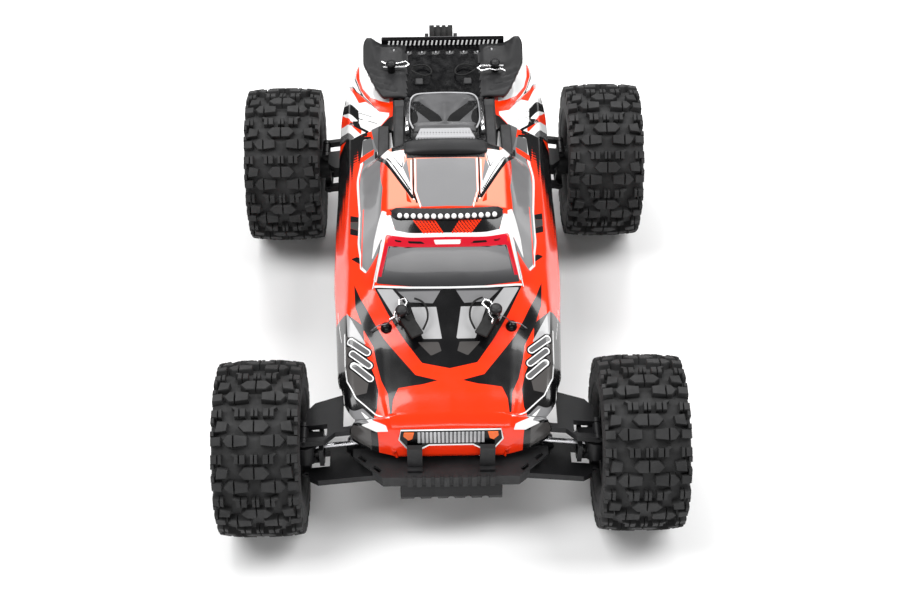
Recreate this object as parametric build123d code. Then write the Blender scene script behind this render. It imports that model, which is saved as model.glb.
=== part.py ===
"""Four-wheel-drive monster truck, 1/10 class.  Millimetres, +Z up.

Drawn with Y = 0 midway between the axles, the nose towards -Y, and moved by
AXLE_MID_Y on export so that the whole truck is centred.  Each wheel corner is
drawn once, at +X, with y counted from the axle towards the middle of the truck.
"""
import math
import os

from build123d import *

# ---- driving dimensions ----
AXLE_MID_Y = -45.6      # export shift
HALF_BASE = 154.3       # half of the wheelbase
AXLE_Z = 68.0
TYRE_R = 68.0
TYRE_W = 65.0
WHEEL_X = {-1: 144.5, 1: 140.3}   # wheel centre from the middle, front and rear
PIVOT_X = 27.0          # inner hinge pins
REACH = {-1: 85.0, 1: 77.0}       # inner pin to outer pin
DROP = {-1: 12.0, 1: 12.0}        # how much lower the outer pin is
LOW_Z = 58.0            # inner pin of the lower arm
SHAFT_Z = 80.0          # inner end of the drive shaft
UP_Z = 97.0             # inner pin of the upper arm
PIN_R = 1.5
RUN = 0.05              # running fit, radial
SHOCK_Y = 14.3          # damper plane, from the axle towards the middle
SHOCK_LOW = {-1: (76.0, 54.0), 1: (74.0, 55.0)}
SHOCK_TOP = {-1: (50.0, 104.0), 1: (44.0, 122.0)}
DAMPER_R = 6.0
SPRING_R = 8.0
SEAT = 13.5              # lower spring seat above the lower eye
SHAFT_TOP = 18.5         # top of the damper shaft below the upper eye
STEER_ARM = 20.0        # knuckle arm length
RACK_Y = 46.3           # rack, from the front axle towards the middle
HORN_X, HORN_Z, HORN_LEN = -18.0, 96.0, 24.0
MODULE = 1.0
SPUR_TEETH = 50
PINION_TEETH = 15
SPUR_Y = 30.0
MOTOR_X, MOTOR_Z = -31.5, 72.0
CHASSIS_Z = 50.0
PLATE = 3.0
SHELL_T = 1.5           # body shell thickness
ROLLER_Y, ROLLER_Z, ROLLER_R = 298.0, 88.0, 14.0
POSTS = ((36.0, -86.0, 149.6), (44.0, 158.0, 182.0))   # x, y, top of the body posts

os.makedirs("parts", exist_ok=True)


# ---- helpers ----
def box(x0, x1, y0, y1, z0, z1):
    return Pos((x0 + x1) / 2, (y0 + y1) / 2, (z0 + z1) / 2) * Box(x1 - x0, y1 - y0, z1 - z0)


def rod(a, b, r):
    """Round bar from a to b."""
    a, b = Vector(*a), Vector(*b)
    plane = Plane(origin=(a + b) / 2, z_dir=(b - a).normalized())
    return plane * Cylinder(r, (b - a).length)


def ball(p, r, toward=(0, 0, 1)):
    return Plane(origin=p, z_dir=toward) * Sphere(r)


def slab_xz(points, y0, y1):
    """Polygon in X and Z, spread over y0 to y1."""
    face = make_face(Polyline(*[(x, y0, z) for x, z in points], close=True))
    return extrude(face, amount=y1 - y0, dir=(0, 1, 0))


def slab_xy(points, z0, z1):
    face = make_face(Polyline(*[(x, y, z0) for x, y in points], close=True))
    return extrude(face, amount=z1 - z0, dir=(0, 0, 1))


def slab_yz(points, x0, x1):
    face = make_face(Polyline(*[(x0, y, z) for y, z in points], close=True))
    return extrude(face, amount=x1 - x0, dir=(1, 0, 0))


def solids_of(shape):
    if isinstance(shape, (list, tuple)):
        found = []
        for item in shape:
            found += solids_of(item)
        return found
    return list(shape.solids())


def put(name, shape, end=0, side=1):
    """Write a node.  Corner pieces are mirrored to their side and end first."""
    moved = []
    for solid in solids_of(shape):
        if end == 1:
            solid = mirror(solid, about=Plane.XZ)
        if end:
            solid = Pos(0, end * HALF_BASE, 0) * solid
        if side < 0:
            solid = mirror(solid, about=Plane.YZ)
        moved.append(Pos(0, AXLE_MID_Y, 0) * solid)
    moved = solids_of(moved)
    export_step(moved[0] if len(moved) == 1 else Compound(children=moved), "parts/" + name + ".step")


def outer_pin(end, inner_z):
    return PIVOT_X + REACH[end], inner_z - DROP[end]


# ---- corner pieces (at +X, y from the axle towards the middle) ----
def arm_line(end, inner_z, x):
    return inner_z - DROP[end] * (x - PIVOT_X) / REACH[end]


def sloped(end, inner_z, points, thick):
    """Plan outline (x, y) cut from a slab that follows the arm's slope."""
    x_out = PIVOT_X + REACH[end] + 8
    low = [(x, arm_line(end, inner_z, x)) for x in (PIVOT_X - 8, x_out)]
    edge = [(low[0][0], low[0][1] - thick / 2), (low[1][0], low[1][1] - thick / 2),
            (low[1][0], low[1][1] + thick / 2), (low[0][0], low[0][1] + thick / 2)]
    return slab_xz(edge, -60, 60) & slab_xy(points, 0, 160)


def lower_arm(end):
    ox, oz = outer_pin(end, LOW_Z)
    body = sloped(end, LOW_Z, [(PIVOT_X, -12.8), (PIVOT_X + 16, -13.5), (PIVOT_X + 31, -19.5), (ox - 9, -19.5),
                               (ox - 2, -15), (ox - 2, -7), (ox - 18, -7), (ox - 18, 7), (ox - 2, 7), (ox - 2, 11),
                               (ox - 24, 11), (PIVOT_X, 12.8)], 7)
    body -= sloped(end, LOW_Z, [(PIVOT_X + 9, -8), (PIVOT_X + 24, -7), (PIVOT_X + 24, 7), (PIVOT_X + 9, 8)], 20)
    body += rod((PIVOT_X, -16, LOW_Z), (PIVOT_X, 16, LOW_Z), 4.5)
    for y0, y1 in ((-11, -7), (7, 11)):
        body += rod((ox, y0, oz), (ox, y1, oz), 3.8)
    sx, sz = SHOCK_LOW[end]
    body += box(sx - 5, sx + 5, 6.5, 10.8, sz - 5, sz)
    body += rod((sx, 6.5, sz), (sx, 10.8, sz), 5)
    body -= rod((PIVOT_X, -20, LOW_Z), (PIVOT_X, 20, LOW_Z), PIN_R + RUN)
    body -= rod((ox, -20, oz), (ox, 20, oz), PIN_R)
    body -= rod((sx, 0, sz), (sx, 20, sz), PIN_R)
    pin = rod((ox, -11.8, oz), (ox, 11.8, oz), PIN_R)
    stud = rod((sx, 6.5, sz), (sx, 17.4, sz), PIN_R) + rod((sx, 17.4, sz), (sx, 19.4, sz), 3.0)
    return [body, pin, stud]


def upper_arm(end):
    ox, oz = outer_pin(end, UP_Z)
    y0, y1 = -2.7, 31.3
    body = sloped(end, UP_Z, [(PIVOT_X, y0), (ox - 24, y0), (ox - 16, -9.5), (ox - 2, -9.5), (ox - 2, -5.6),
                              (ox - 18, -5.6), (ox - 18, 5.6), (ox - 2, 5.6), (ox - 2, 20), (ox - 8, 26.5),
                              (ox - 28, y1), (PIVOT_X, y1)], 6)
    body -= sloped(end, UP_Z, [(PIVOT_X + 8, 1.7), (ox - 30, 1.7), (ox - 30, 25.6), (PIVOT_X + 8, 25.6)], 20)
    body += rod((PIVOT_X, y0, UP_Z), (PIVOT_X, y1, UP_Z), 4.5)
    for a, b in ((-9.5, -5.6), (5.6, 9.5)):
        body += rod((ox, a, oz), (ox, b, oz), 3.6)
    body -= rod((PIVOT_X, -20, UP_Z), (PIVOT_X, 40, UP_Z), PIN_R + RUN)
    body -= rod((ox, -20, oz), (ox, 10.3, oz), PIN_R)
    pin = rod((ox, -10.3, oz), (ox, 10.3, oz), PIN_R)
    return [body, pin]


def hub_ears(end, half_low, half_up):
    """Lugs of the hub that turn on the outer pins, with running bores."""
    lx, lz = outer_pin(end, LOW_Z)
    ux, uz = outer_pin(end, UP_Z)
    ears = rod((lx, -half_low, lz), (lx, half_low, lz), 3.7)
    ears += rod((ux, -half_up, uz), (ux, half_up, uz), 3.4)
    bores = rod((lx, -20, lz), (lx, 20, lz), PIN_R + RUN)
    bores += rod((ux, -20, uz), (ux, 20, uz), PIN_R + RUN)
    return ears, bores


def c_hub():
    """Front carrier: two plates joined by a web, open towards the wheel."""
    ox, lz = outer_pin(-1, LOW_Z)
    uz = outer_pin(-1, UP_Z)[1]
    ears, bores = hub_ears(-1, 6.4, 5.0)
    body = ears
    body += box(ox - 2.5, ox + 2.5, -6.2, 6.2, lz, 54.4)
    for z0, z1, r in ((54.0, 57.0, 6.2), (79.0, 82.0, 5.0)):
        body += box(ox - 14.5, ox, -5.0, 5.0, z0, z1)
        body += rod((ox, 0, z0), (ox, 0, z1), r)
    body += box(ox - 2.5, ox + 2.5, -5.0, 5.0, 81.5, uz)
    body += box(ox - 14.5, ox - 11.0, -5.0, 5.0, 54.0, 82.0)
    body += box(ox - 14.5, ox - 11.0, -11, 11, 58.5, 77.5)
    body -= rod((ox - 30, 0, AXLE_Z), (ox - 10, 0, AXLE_Z), 9.0)
    return body - bores


def knuckle():
    """Steering block between the carrier's plates, with an arm towards the rack."""
    ox = outer_pin(-1, LOW_Z)[0]
    body = rod((ox, 0, 57.4), (ox, 0, 78.6), 10.0)
    body += rod((ox + 4, 0, AXLE_Z), (ox + 18.5, 0, AXLE_Z), 9.0)
    body += box(ox - 3.5, ox + 3.5, 5, 14, 57.4, 61.5)
    body += box(ox - 3.5, ox + 3.5, 9.3, 14, 53.0, 61.5)
    body += box(ox - 4, ox + 4, 10.5, 20, 53.0, 56.0)
    body += box(ox - 4, ox + 4, 14.6, 20, 50.4, 56.0)
    body += rod((ox, 20, 50.4), (ox, 20, 56.0), 4.0)
    body -= rod((ox - 20, 0, AXLE_Z), (ox + 11.5, 0, AXLE_Z), 7.9)
    body -= rod((ox, 0, AXLE_Z), (ox + 30, 0, AXLE_Z), 5.0 + RUN)
    return body


def rear_hub():
    """Rear carrier: one block around the stub axle."""
    ox, lz = outer_pin(1, LOW_Z)
    uz = outer_pin(1, UP_Z)[1]
    ears, bores = hub_ears(1, 6.4, 5.0)
    body = ears
    body += box(ox - 2.5, ox + 2.5, -6.2, 6.2, lz, 60)
    body += box(ox - 2.5, ox + 2.5, -5.0, 5.0, 78, uz)
    body += rod((ox - 2.5, 0, AXLE_Z), (ox + 16, 0, AXLE_Z), 12.5)
    body -= rod((ox - 20, 0, AXLE_Z), (ox + 11.5, 0, AXLE_Z), 7.9)
    body -= rod((ox, 0, AXLE_Z), (ox + 30, 0, AXLE_Z), 5.0 + RUN)
    return body - bores


def wheel_z(end):
    return SHAFT_Z - DROP[end]


def tyre(end):
    """Hollow carcass with a plain tread band at the lug height."""
    x = WHEEL_X[end]
    h = TYRE_W / 2
    z = wheel_z(end)
    prof = [(x - h + 6, 37.4), (x - h + 1.5, 45), (x - h, 54), (x - h + 2, 62), (x - h + 9, TYRE_R - 1.2),
            (x, TYRE_R), (x + h - 9, TYRE_R - 1.2), (x + h - 2, 62), (x + h, 54), (x + h - 1.5, 45),
            (x + h - 6, 37.4), (x + h - 6, 40), (x + h - 5, 46), (x + h - 5, 58), (x + h - 12, 62),
            (x - h + 12, 62), (x - h + 5, 58), (x - h + 5, 46), (x - h + 6, 40)]
    face = make_face(Polyline(*[(a, 0, r) for a, r in prof], close=True))
    return Pos(0, 0, z) * revolve(face, Axis.X, 360)


def rim(end):
    """Deep dish wheel, its hex, nut and stub axle with the drive cup."""
    x = WHEEL_X[end]
    z = wheel_z(end)
    ox = PIVOT_X + REACH[end]
    h = TYRE_W / 2 - 6.2
    inner = x - h + 1
    disc = x - 5.5
    prof = [(inner, 33.5), (x + h, 33.5), (x + h, 39.5), (x + h - 3, 39.5), (x + h - 3, 37.2),
            (x - h + 3, 37.2), (x - h + 3, 39.5), (x - h, 39.5), (x - h, 35)]
    barrel = revolve(make_face(Polyline(*[(a, 0, r) for a, r in prof], close=True)), Axis.X, 360)
    dish = rod((disc, 0, 0), (disc + 4, 0, 0), 34.0)
    for i in range(5):
        a = math.radians(72 * i + 90)
        b = math.radians(72 * i + 126)
        dish -= rod((disc - 5, 21 * math.cos(a), 21 * math.sin(a)),
                    (disc + 9, 21 * math.cos(a), 21 * math.sin(a)), 6.5)
        dish -= rod((disc - 5, 27 * math.cos(b), 27 * math.sin(b)),
                    (disc + 9, 27 * math.cos(b), 27 * math.sin(b)), 3.0)
    dish += rod((disc - 1, 0, 0), (disc + 6, 0, 0), 11.0)
    wheel = barrel + dish
    wheel -= rod((disc - 10, 0, 0), (disc + 10, 0, 0), 2.5)
    hexagon = Plane(origin=(disc - 8, 0, 0), z_dir=(1, 0, 0)) * RegularPolygon(8.5, 6)
    hex_nut = extrude(hexagon, amount=6.8, dir=(1, 0, 0))
    hex_nut -= rod((disc - 20, 0, 0), (disc + 10, 0, 0), 2.5)
    nut_face = Plane(origin=(disc + 6, 0, 0), z_dir=(1, 0, 0)) * RegularPolygon(5.5, 6)
    nut = extrude(nut_face, amount=5, dir=(1, 0, 0)) - rod((disc, 0, 0), (disc + 20, 0, 0), 2.5)
    axle = rod((ox + 9, 0, 0), (disc + 13, 0, 0), 2.5)
    axle += rod((ox + 11.8, 0, 0), (ox + 18.8, 0, 0), 5.0)
    axle += rod((ox - 7, 0, 0), (ox + 11.2, 0, 0), 7.4)
    axle -= rod((ox - 10, 0, 0), (ox + 9.5, 0, 0), 5.75)
    axle += rod((ox + 9.5, 0, 0), (ox + 12, 0, 0), 5.0)
    return [Pos(0, 0, z) * s for s in (wheel, hex_nut, nut, axle)]


def driveshaft(end):
    a = (PIVOT_X, 0, SHAFT_Z)
    b = (PIVOT_X + REACH[end], 0, SHAFT_Z - DROP[end])
    line = (Vector(*b) - Vector(*a)).normalized()
    return ball(a, 3.6, line) + rod(a, b, 1.9) + ball(b, 3.6, line)


def along(end, dist, side_shift=0.0):
    """Point on the damper's line, dist from the upper eye."""
    (tx, tz), (lx, lz) = SHOCK_TOP[end], SHOCK_LOW[end]
    length = math.hypot(lx - tx, lz - tz)
    ux, uz = (lx - tx) / length, (lz - tz) / length
    return (tx + ux * dist, SHOCK_Y + side_shift, tz + uz * dist)


def shock_length(end):
    (tx, tz), (lx, lz) = SHOCK_TOP[end], SHOCK_LOW[end]
    return math.hypot(lx - tx, lz - tz)


def damper_reach(end):
    """Length of the damper body below its upper eye."""
    return shock_length(end) - 26.5


def shock_body(end):
    p = along(end, 0)
    end_of_body = damper_reach(end)
    body = rod(along(end, 4.5), along(end, end_of_body), DAMPER_R)
    body += rod(along(end, 6.0), along(end, 9.0), SPRING_R)
    body += rod((p[0], p[1] - 2.5, p[2]), (p[0], p[1] + 2.5, p[2]), 4.2)
    body += rod(along(end, 2.0), along(end, 5.0), 2.4)
    body -= rod((p[0], p[1] - 10, p[2]), (p[0], p[1] + 10, p[2]), PIN_R + RUN)
    body -= rod(along(end, 7), along(end, end_of_body + 5), 1.6 + RUN)
    body -= rod(along(end, 7), along(end, end_of_body - 3), 4.2)
    return body


def shock_shaft(end):
    length = shock_length(end)
    q = along(end, length)
    shaft = rod(along(end, SHAFT_TOP), along(end, length - 3.5), 1.6)
    shaft += rod(along(end, length - SEAT), along(end, length - SEAT + 2), SPRING_R - 0.6)
    shaft += rod(along(end, length - SEAT + 1.9), along(end, length - 3), 3.0)
    shaft += rod((q[0], q[1] - 2.5, q[2]), (q[0], q[1] + 2.5, q[2]), 4.6)
    shaft -= rod((q[0], q[1] - 10, q[2]), (q[0], q[1] + 10, q[2]), PIN_R + 0.5)
    return shaft


def spring(end):
    """Coil spring, drawn as its closed envelope between the two seats."""
    a, b = 9.0, shock_length(end) - SEAT
    coil = rod(along(end, a), along(end, b), SPRING_R - 0.2)
    return coil - rod(along(end, a - 5), along(end, b + 5), DAMPER_R + 0.5)


# ---- steering ----
def tie_rod():
    """At +X in front corner coordinates."""
    ox, lz = outer_pin(-1, LOW_Z)
    a = (PIVOT_X, RACK_Y, LOW_Z)
    b = (ox, STEER_ARM, lz)
    line = (Vector(*b) - Vector(*a)).normalized()
    body = ball(a, 3.2, line) + rod(a, b, 1.8) + ball(b, 3.2, line)
    return body + rod(b, (b[0], b[1], b[2] + 3.8), 1.4)


def steering_rack():
    """Bar between the tie rods, with two prongs round the servo horn's pin."""
    y = -HALF_BASE + RACK_Y
    pieces = [box(-31, 31, y - 2.5, y + 2.5, 61.8, 65.8)]
    gap = PIN_R + 0.5
    for x0, x1 in ((HORN_X - 6, HORN_X - gap), (HORN_X + gap, HORN_X + 6)):
        pieces.append(box(x0, x1, y - 1.5, y + 1.5, 65.8, 77))
    return pieces


def servo_horn():
    y = -HALF_BASE + RACK_Y
    z = HORN_Z - HORN_LEN
    horn = slab_xz([(HORN_X - 3, z - 3), (HORN_X + 3, z - 3), (HORN_X + 5, HORN_Z), (HORN_X + 3, HORN_Z + 5),
                    (HORN_X - 3, HORN_Z + 5), (HORN_X - 5, HORN_Z)], y + 4.5, y + 7.3)
    horn += rod((HORN_X, y - 2.5, z), (HORN_X, y + 5, z), PIN_R)
    return horn


def steering_servo():
    x0, x1, y0, y1, z0, z1 = -28, 12, -98, -60, 86, 106
    body = box(x0, x1, y0, y1, z0, z1)
    body += box(x0 - 4, x1 + 7, y0 + 10, y0 + 12.5, z0 + 1, z1 - 1)
    body += rod((HORN_X, y0, HORN_Z), (HORN_X, y0 - 2.2, HORN_Z), 4)
    for x in (x1 + 4, -3 - 12):
        body += box(x - 2.5, x + 2.5, y0 + 12.5, y0 + 18, CHASSIS_Z + PLATE, z0 + 4)
    return body


# ---- frame ----
def chassis():
    half = [(22, -165), (22, -120), (28, -112), (28, -96), (72, -75), (72, 75), (28, 104), (22, 118), (22, 165)]
    outline = half + [(-x, y) for x, y in reversed(half)]
    body = slab_xy(outline, CHASSIS_Z, CHASSIS_Z + PLATE)
    for s in (1, -1):
        x0, x1 = sorted((s * 69.5, s * 72))
        body += box(x0, x1, -74, 74, CHASSIS_Z + 1, 64)
    for x, y, _ in POSTS[:1]:
        for s in (1, -1):
            body += rod((s * x, y, CHASSIS_Z + 1), (s * x, y, CHASSIS_Z + 8), 6)
    body += box(27, 30, -69, 69, CHASSIS_Z + 1, 60)
    body += box(-10, 10, 78, 84, CHASSIS_Z + 1, 76)
    body += box(-10, 10, -72, -66, CHASSIS_Z + 1, 76)
    for x, y, _ in POSTS[:1]:
        for s in (1, -1):
            body -= rod((s * x, y, CHASSIS_Z + PLATE), (s * x, y, CHASSIS_Z + 20), 3.0)
    return body


def gearbox(end):
    body = box(-19, 19, -11, 15, 53, 92)
    body += box(-19, 19, -6.2, 34.8, 86, 104)
    body += box(-19, 19, -11, 0, 90, 100)
    body += box(-12, 12, 14, 26, 70, 90)
    body += box(-19, 19, -19.6, 19.6, 53, 63)
    for a, b in ((-19.6, -16.4), (16.4, 19.6)):
        body += box(-33, 33, a, b, 53, 63)
    for s in (1, -1):
        x0, x1 = sorted((s * 15, s * 33))
        for a, b in ((-6.2, -3.0), (31.6, 34.8)):
            body += box(x0, x1, a, b, 92, 103)
        body += rod((s * 15, 0, SHAFT_Z), (s * 34, 0, SHAFT_Z), 8.5)
        body -= rod((s * 20.5, 0, SHAFT_Z), (s * 40, 0, SHAFT_Z), 5.6)
        body -= rod((s * PIVOT_X, -30, LOW_Z), (s * PIVOT_X, 30, LOW_Z), PIN_R)
        body -= rod((s * PIVOT_X, -30, UP_Z), (s * PIVOT_X, 50, UP_Z), PIN_R)
    body -= rod((0, 12, SHAFT_Z), (0, 60, SHAFT_Z), 4.3)
    return body


def hinge_pins():
    pins = []
    for s in (1, -1):
        pins.append(rod((s * PIVOT_X, -20.2, LOW_Z), (s * PIVOT_X, 20.2, LOW_Z), PIN_R))
        pins.append(rod((s * PIVOT_X, -6.8, UP_Z), (s * PIVOT_X, 35.4, UP_Z), PIN_R))
    return pins


def shock_tower(end):
    """Plate across the truck, with the damper studs and rear body posts."""
    tx, tz = SHOCK_TOP[end]
    top = tz + 4.5
    base = 104.0
    outline = [(19, base), (33, base), (tx + 7, tz - 4 if tz - 4 > base else base), (tx + 7, top), (tx - 6, top),
               (19, base + (top - base) * 0.8)]
    if end == -1:
        outline = [(19, base), (33, 103.6), (tx + 5, 99.5), (tx + 6, top), (19, top)]
    full = outline + [(-x, z) for x, z in reversed(outline)]
    plate = slab_xz(full, 2.2, 5.4)
    studs = []
    for s in (1, -1):
        studs.append(rod((s * tx, 2.2, tz), (s * tx, 18.6, tz), PIN_R) + rod((s * tx, 17.2, tz),
                                                                          (s * tx, 19.2, tz), 3.0))
        plate -= rod((s * tx, 0, tz), (s * tx, 30, tz), PIN_R)
    plate += box(-19, 19, 2.2, 14, 104, 108.0)
    return [plate] + studs


def corner_to_truck(shape, end):
    out = []
    for solid in solids_of(shape):
        if end == 1:
            solid = mirror(solid, about=Plane.XZ)
        out.append(Pos(0, end * HALF_BASE, 0) * solid)
    return solids_of(out)


def body_posts():
    posts = []
    for x, y, top in POSTS:
        for s in (1, -1):
            bottom = CHASSIS_Z + PLATE if y < 0 else 112
            post = rod((s * x, y, bottom), (s * x, y, top), 3.0)
            post -= clip_hole(s * x, y)
            if y > 0:
                post += box(s * x - 4, s * x + 4, HALF_BASE - 2.2, y, 112, 120)
            posts.append(post)
    return posts


def clip_turn(x, y):
    if y < 0:
        return 90 + (20 if x > 0 else -20)
    return 180 if x > 0 else 0


def clip_height(y):
    return 145.4 if y < 0 else 178.5


def clip_hole(x, y):
    return Pos(x, y, clip_height(y)) * Rot(0, 0, clip_turn(x, y)) * rod((-9, 0, 0), (14, 0, 0), 0.85)


def front_bumper():
    """Moulded bumper: deck, front wall with ridges, hooks before the nose and a skid."""
    outline = [(-75, -158.5), (-75, -165.5), (-52, -185.5), (52, -185.5), (75, -165.5), (75, -158.5),
               (24, -158.5), (24, -166.5), (-24, -166.5), (-24, -158.5)]
    bumper = slab_xy(outline, 68.3, 71)
    wall = [(-75, -159), (-75, -165.5), (-52, -185.5), (52, -185.5), (75, -165.5), (75, -159), (72.5, -159),
            (72.5, -164.5), (51, -183), (-51, -183), (-72.5, -164.5), (-72.5, -159)]
    bumper += slab_xy(wall, 68, 71)
    bumper += slab_xy([(-60, -178.5), (-52, -185.5), (52, -185.5), (60, -178.5), (58, -176.7), (51, -183),
                       (-51, -183), (-58, -176.7)], 59, 71)
    for s in (1, -1):
        for x, y in ((56.5, -177.5), (67.5, -168.0)):
            bumper -= Pos(s * x, y, 69) * Rot(0, 0, s * 41) * Box(7.0, 3.0, 12)
        x0, x1 = sorted((s * 21.8, s * 33.2))
        bumper += box(x0, x1, -178, -174, 70, 97)
        bumper += box(x0, x1, -181.5, -176, 70, 74)
    for i in range(10):
        bumper += box(-33.5 + 7 * i, -29.5 + 7 * i, -187.3, -184, 60, 72.5)
    skid = [(-183, 62), (-186, 59), (-190, 51), (-189.5, 47.5), (-184, 45), (-168, 44.5), (-168, 47),
            (-182, 48), (-186, 52), (-183, 57.5)]
    bumper += slab_yz(skid, -39, 39)
    for x in (-26, -13, 0, 13, 26):
        bumper -= Pos(x, -187.5, 48) * Rot(90, 0, 0) * Cylinder(2.6, 14)
    bumper += box(-18, 18, -180, -168, 46.5, 53)
    return bumper + box(-18, 18, -169, -165, 50, 53)


def wheelie_bar():
    """Two arms behind the rear gearbox that carry the roller."""
    y0 = HALF_BASE + 20.2
    bar = box(-19, 19, y0, y0 + 5, 56, 80)
    for s in (1, -1):
        x0, x1 = sorted((s * 11.8, s * 15.3))
        arm = slab_yz([(y0 + 1, 60), (y0 + 1, 78), (ROLLER_Y - 6, ROLLER_Z + 6), (ROLLER_Y + 4, ROLLER_Z + 5),
                       (ROLLER_Y + 5, ROLLER_Z - 4), (ROLLER_Y - 4, ROLLER_Z - 6)], x0, x1)
        bar += arm
    bar += box(-13, 13, y0 + 38, y0 + 46, 68, 76)
    bar -= rod((-30, ROLLER_Y, ROLLER_Z), (30, ROLLER_Y, ROLLER_Z), 2.0)
    pin = rod((-17, ROLLER_Y, ROLLER_Z), (17, ROLLER_Y, ROLLER_Z), 2.0)
    return [bar, pin]


def wheelie_roller():
    wheel = rod((-11, ROLLER_Y, ROLLER_Z), (11, ROLLER_Y, ROLLER_Z), ROLLER_R)
    for x in (-5.5, 0, 5.5):
        ring = rod((x - 1, ROLLER_Y, ROLLER_Z), (x + 1, ROLLER_Y, ROLLER_Z), ROLLER_R + 2)
        ring -= rod((x - 2, ROLLER_Y, ROLLER_Z), (x + 2, ROLLER_Y, ROLLER_Z), ROLLER_R - 1.5)
        wheel -= ring
    return wheel - rod((-20, ROLLER_Y, ROLLER_Z), (20, ROLLER_Y, ROLLER_Z), 2.0 + RUN)


# ---- power ----
def gear_outline(teeth, phase):
    """Involute outline thinned for backlash; phase in degrees puts a tooth there."""
    pitch = MODULE * teeth / 2
    base = pitch * math.cos(math.radians(20))
    tip = pitch + 0.9 * MODULE
    root = pitch - 1.2 * MODULE
    half = (math.pi / 2 - 0.25) / (2 * pitch)
    inv = math.tan(math.radians(20)) - math.radians(20)
    pts = []
    for i in range(teeth):
        mid = math.radians(phase) + 2 * math.pi * i / teeth
        flank = []
        for k in range(5):
            r = max(base, root) + (tip - max(base, root)) * k / 4
            a = math.acos(min(1.0, base / r))
            flank.append((r, half + inv - (math.tan(a) - a)))
        if base > root:
            flank.insert(0, (root, flank[0][1]))
        pts += [(r, mid - w) for r, w in flank]
        pts += [(r, mid + w) for r, w in reversed(flank)]
    return [(r * math.cos(t), r * math.sin(t)) for r, t in pts]


def gear_mesh_angle():
    """Direction from the spur centre to the pinion centre, in degrees."""
    return math.degrees(math.atan2(MOTOR_Z - SHAFT_Z, MOTOR_X))


def spur_gear():
    out = gear_outline(SPUR_TEETH, gear_mesh_angle())
    gear = slab_xz([(x, SHAFT_Z + z) for x, z in out], SPUR_Y - 3, SPUR_Y + 3)
    for i in range(6):
        a = math.radians(60 * i)
        cx, cz = 14.5 * math.cos(a), SHAFT_Z + 14.5 * math.sin(a)
        gear -= rod((cx, SPUR_Y - 10, cz), (cx, SPUR_Y + 10, cz), 4.5)
    gear += rod((0, SPUR_Y - 8, SHAFT_Z), (0, SPUR_Y + 8, SHAFT_Z), 7)
    gear += rod((0, -HALF_BASE + 15, SHAFT_Z), (0, HALF_BASE - 15, SHAFT_Z), 3.0)
    return gear


def motor_pinion():
    back = gear_mesh_angle() + 180
    out = gear_outline(PINION_TEETH, back + 180 / PINION_TEETH)
    gear = slab_xz([(MOTOR_X + x, MOTOR_Z + z) for x, z in out], SPUR_Y - 4, SPUR_Y + 4)
    gear += rod((MOTOR_X, SPUR_Y - 4, MOTOR_Z), (MOTOR_X, SPUR_Y + 9, MOTOR_Z), 2.5)
    return gear


def motor():
    y0 = SPUR_Y + 10
    can = rod((MOTOR_X, y0, MOTOR_Z), (MOTOR_X, y0 + 56, MOTOR_Z), 18)
    can += rod((MOTOR_X, y0 + 55, MOTOR_Z), (MOTOR_X, y0 + 60, MOTOR_Z), 9)
    for i in range(16):
        a = math.radians(22.5 * i)
        x, z = MOTOR_X + 18.2 * math.cos(a), MOTOR_Z + 18.2 * math.sin(a)
        can -= rod((x, y0 + 8, z), (x, y0 + 48, z), 1.0)
    can -= rod((MOTOR_X, y0 - 1, MOTOR_Z), (MOTOR_X, y0 + 6, MOTOR_Z), 4)
    return can


def battery():
    pack = box(30.5, 68.5, -69, 69, 53.3, 78.3)
    strap = box(29.8, 69.2, -30, -18, 78.3, 79.6) + box(29.8, 69.2, 18, 30, 78.3, 79.6)
    return fillet(pack.edges().filter_by(Axis.Y), 4) + strap


def speed_control():
    case = box(-66, -34, -56, -12, 53.0, 68)
    for i in range(7):
        case += box(-64 + 4.3 * i, -62.4 + 4.3 * i, -52, -16, 67.5, 76)
    return case


def receiver_box():
    base = box(-66, -42, 2, 34, 53.0, 72)
    return base + box(-64, -44, 4, 32, 72, 75)


# ---- body ----
# Half sections: y, then (x, z) from the lower edge round to the middle of the top
SECTIONS = [
    (-171, [(41, 78), (42, 83), (42, 88), (40, 92), (36, 95), (26, 96), (0, 96)]),
    (-166, [(61, 80), (63, 91), (61, 101), (48, 106), (44, 109), (28, 110), (0, 111)]),
    (-158, [(76, 84), (78, 96), (73, 110), (50, 112), (46, 115), (28, 116), (0, 117)]),
    (-143, [(82, 90), (84, 103), (76, 117), (54, 117), (48, 120), (28, 122), (0, 123)]),
    (-105, [(86, 88), (87, 106), (78, 124), (58, 124), (50, 127), (28, 129), (0, 129)]),
    (-63, [(88, 86), (89, 110), (79, 135), (64, 143), (57, 146), (30, 147), (0, 147)]),
    (-33, [(90, 85), (91, 112), (79, 139), (67, 148), (49, 176), (28, 179), (0, 179)]),
    (-15, [(91, 85), (91.5, 113), (80, 142), (69, 151), (51, 182), (28, 187), (0, 188)]),
    (33, [(91, 85), (91, 117), (80, 148), (69, 158), (47, 191), (27, 194), (0, 194)]),
    (47, [(91, 85), (90.5, 119), (80, 149), (68, 160), (45, 190), (28, 195), (0, 195)]),
    (62, [(91, 86), (90, 120), (80, 150), (66, 160), (45, 172), (30, 188), (0, 190)]),
    (80, [(91, 90), (90, 122), (80, 151), (64, 160), (45, 168), (29, 186), (0, 187)]),
    (127, [(88, 102), (88, 130), (80, 153), (62, 160), (44, 164), (26, 172), (0, 172)]),
    (140, [(85, 110), (85, 136), (77, 155), (60, 160), (44, 162), (24, 163), (0, 163)]),
    (185, [(75, 122), (76, 141), (70, 156), (56, 160), (42, 162), (24, 163), (0, 163)]),
    (199, [(66, 132), (68, 142), (64, 151), (52, 155), (40, 156), (24, 156), (0, 156)]),
]


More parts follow.
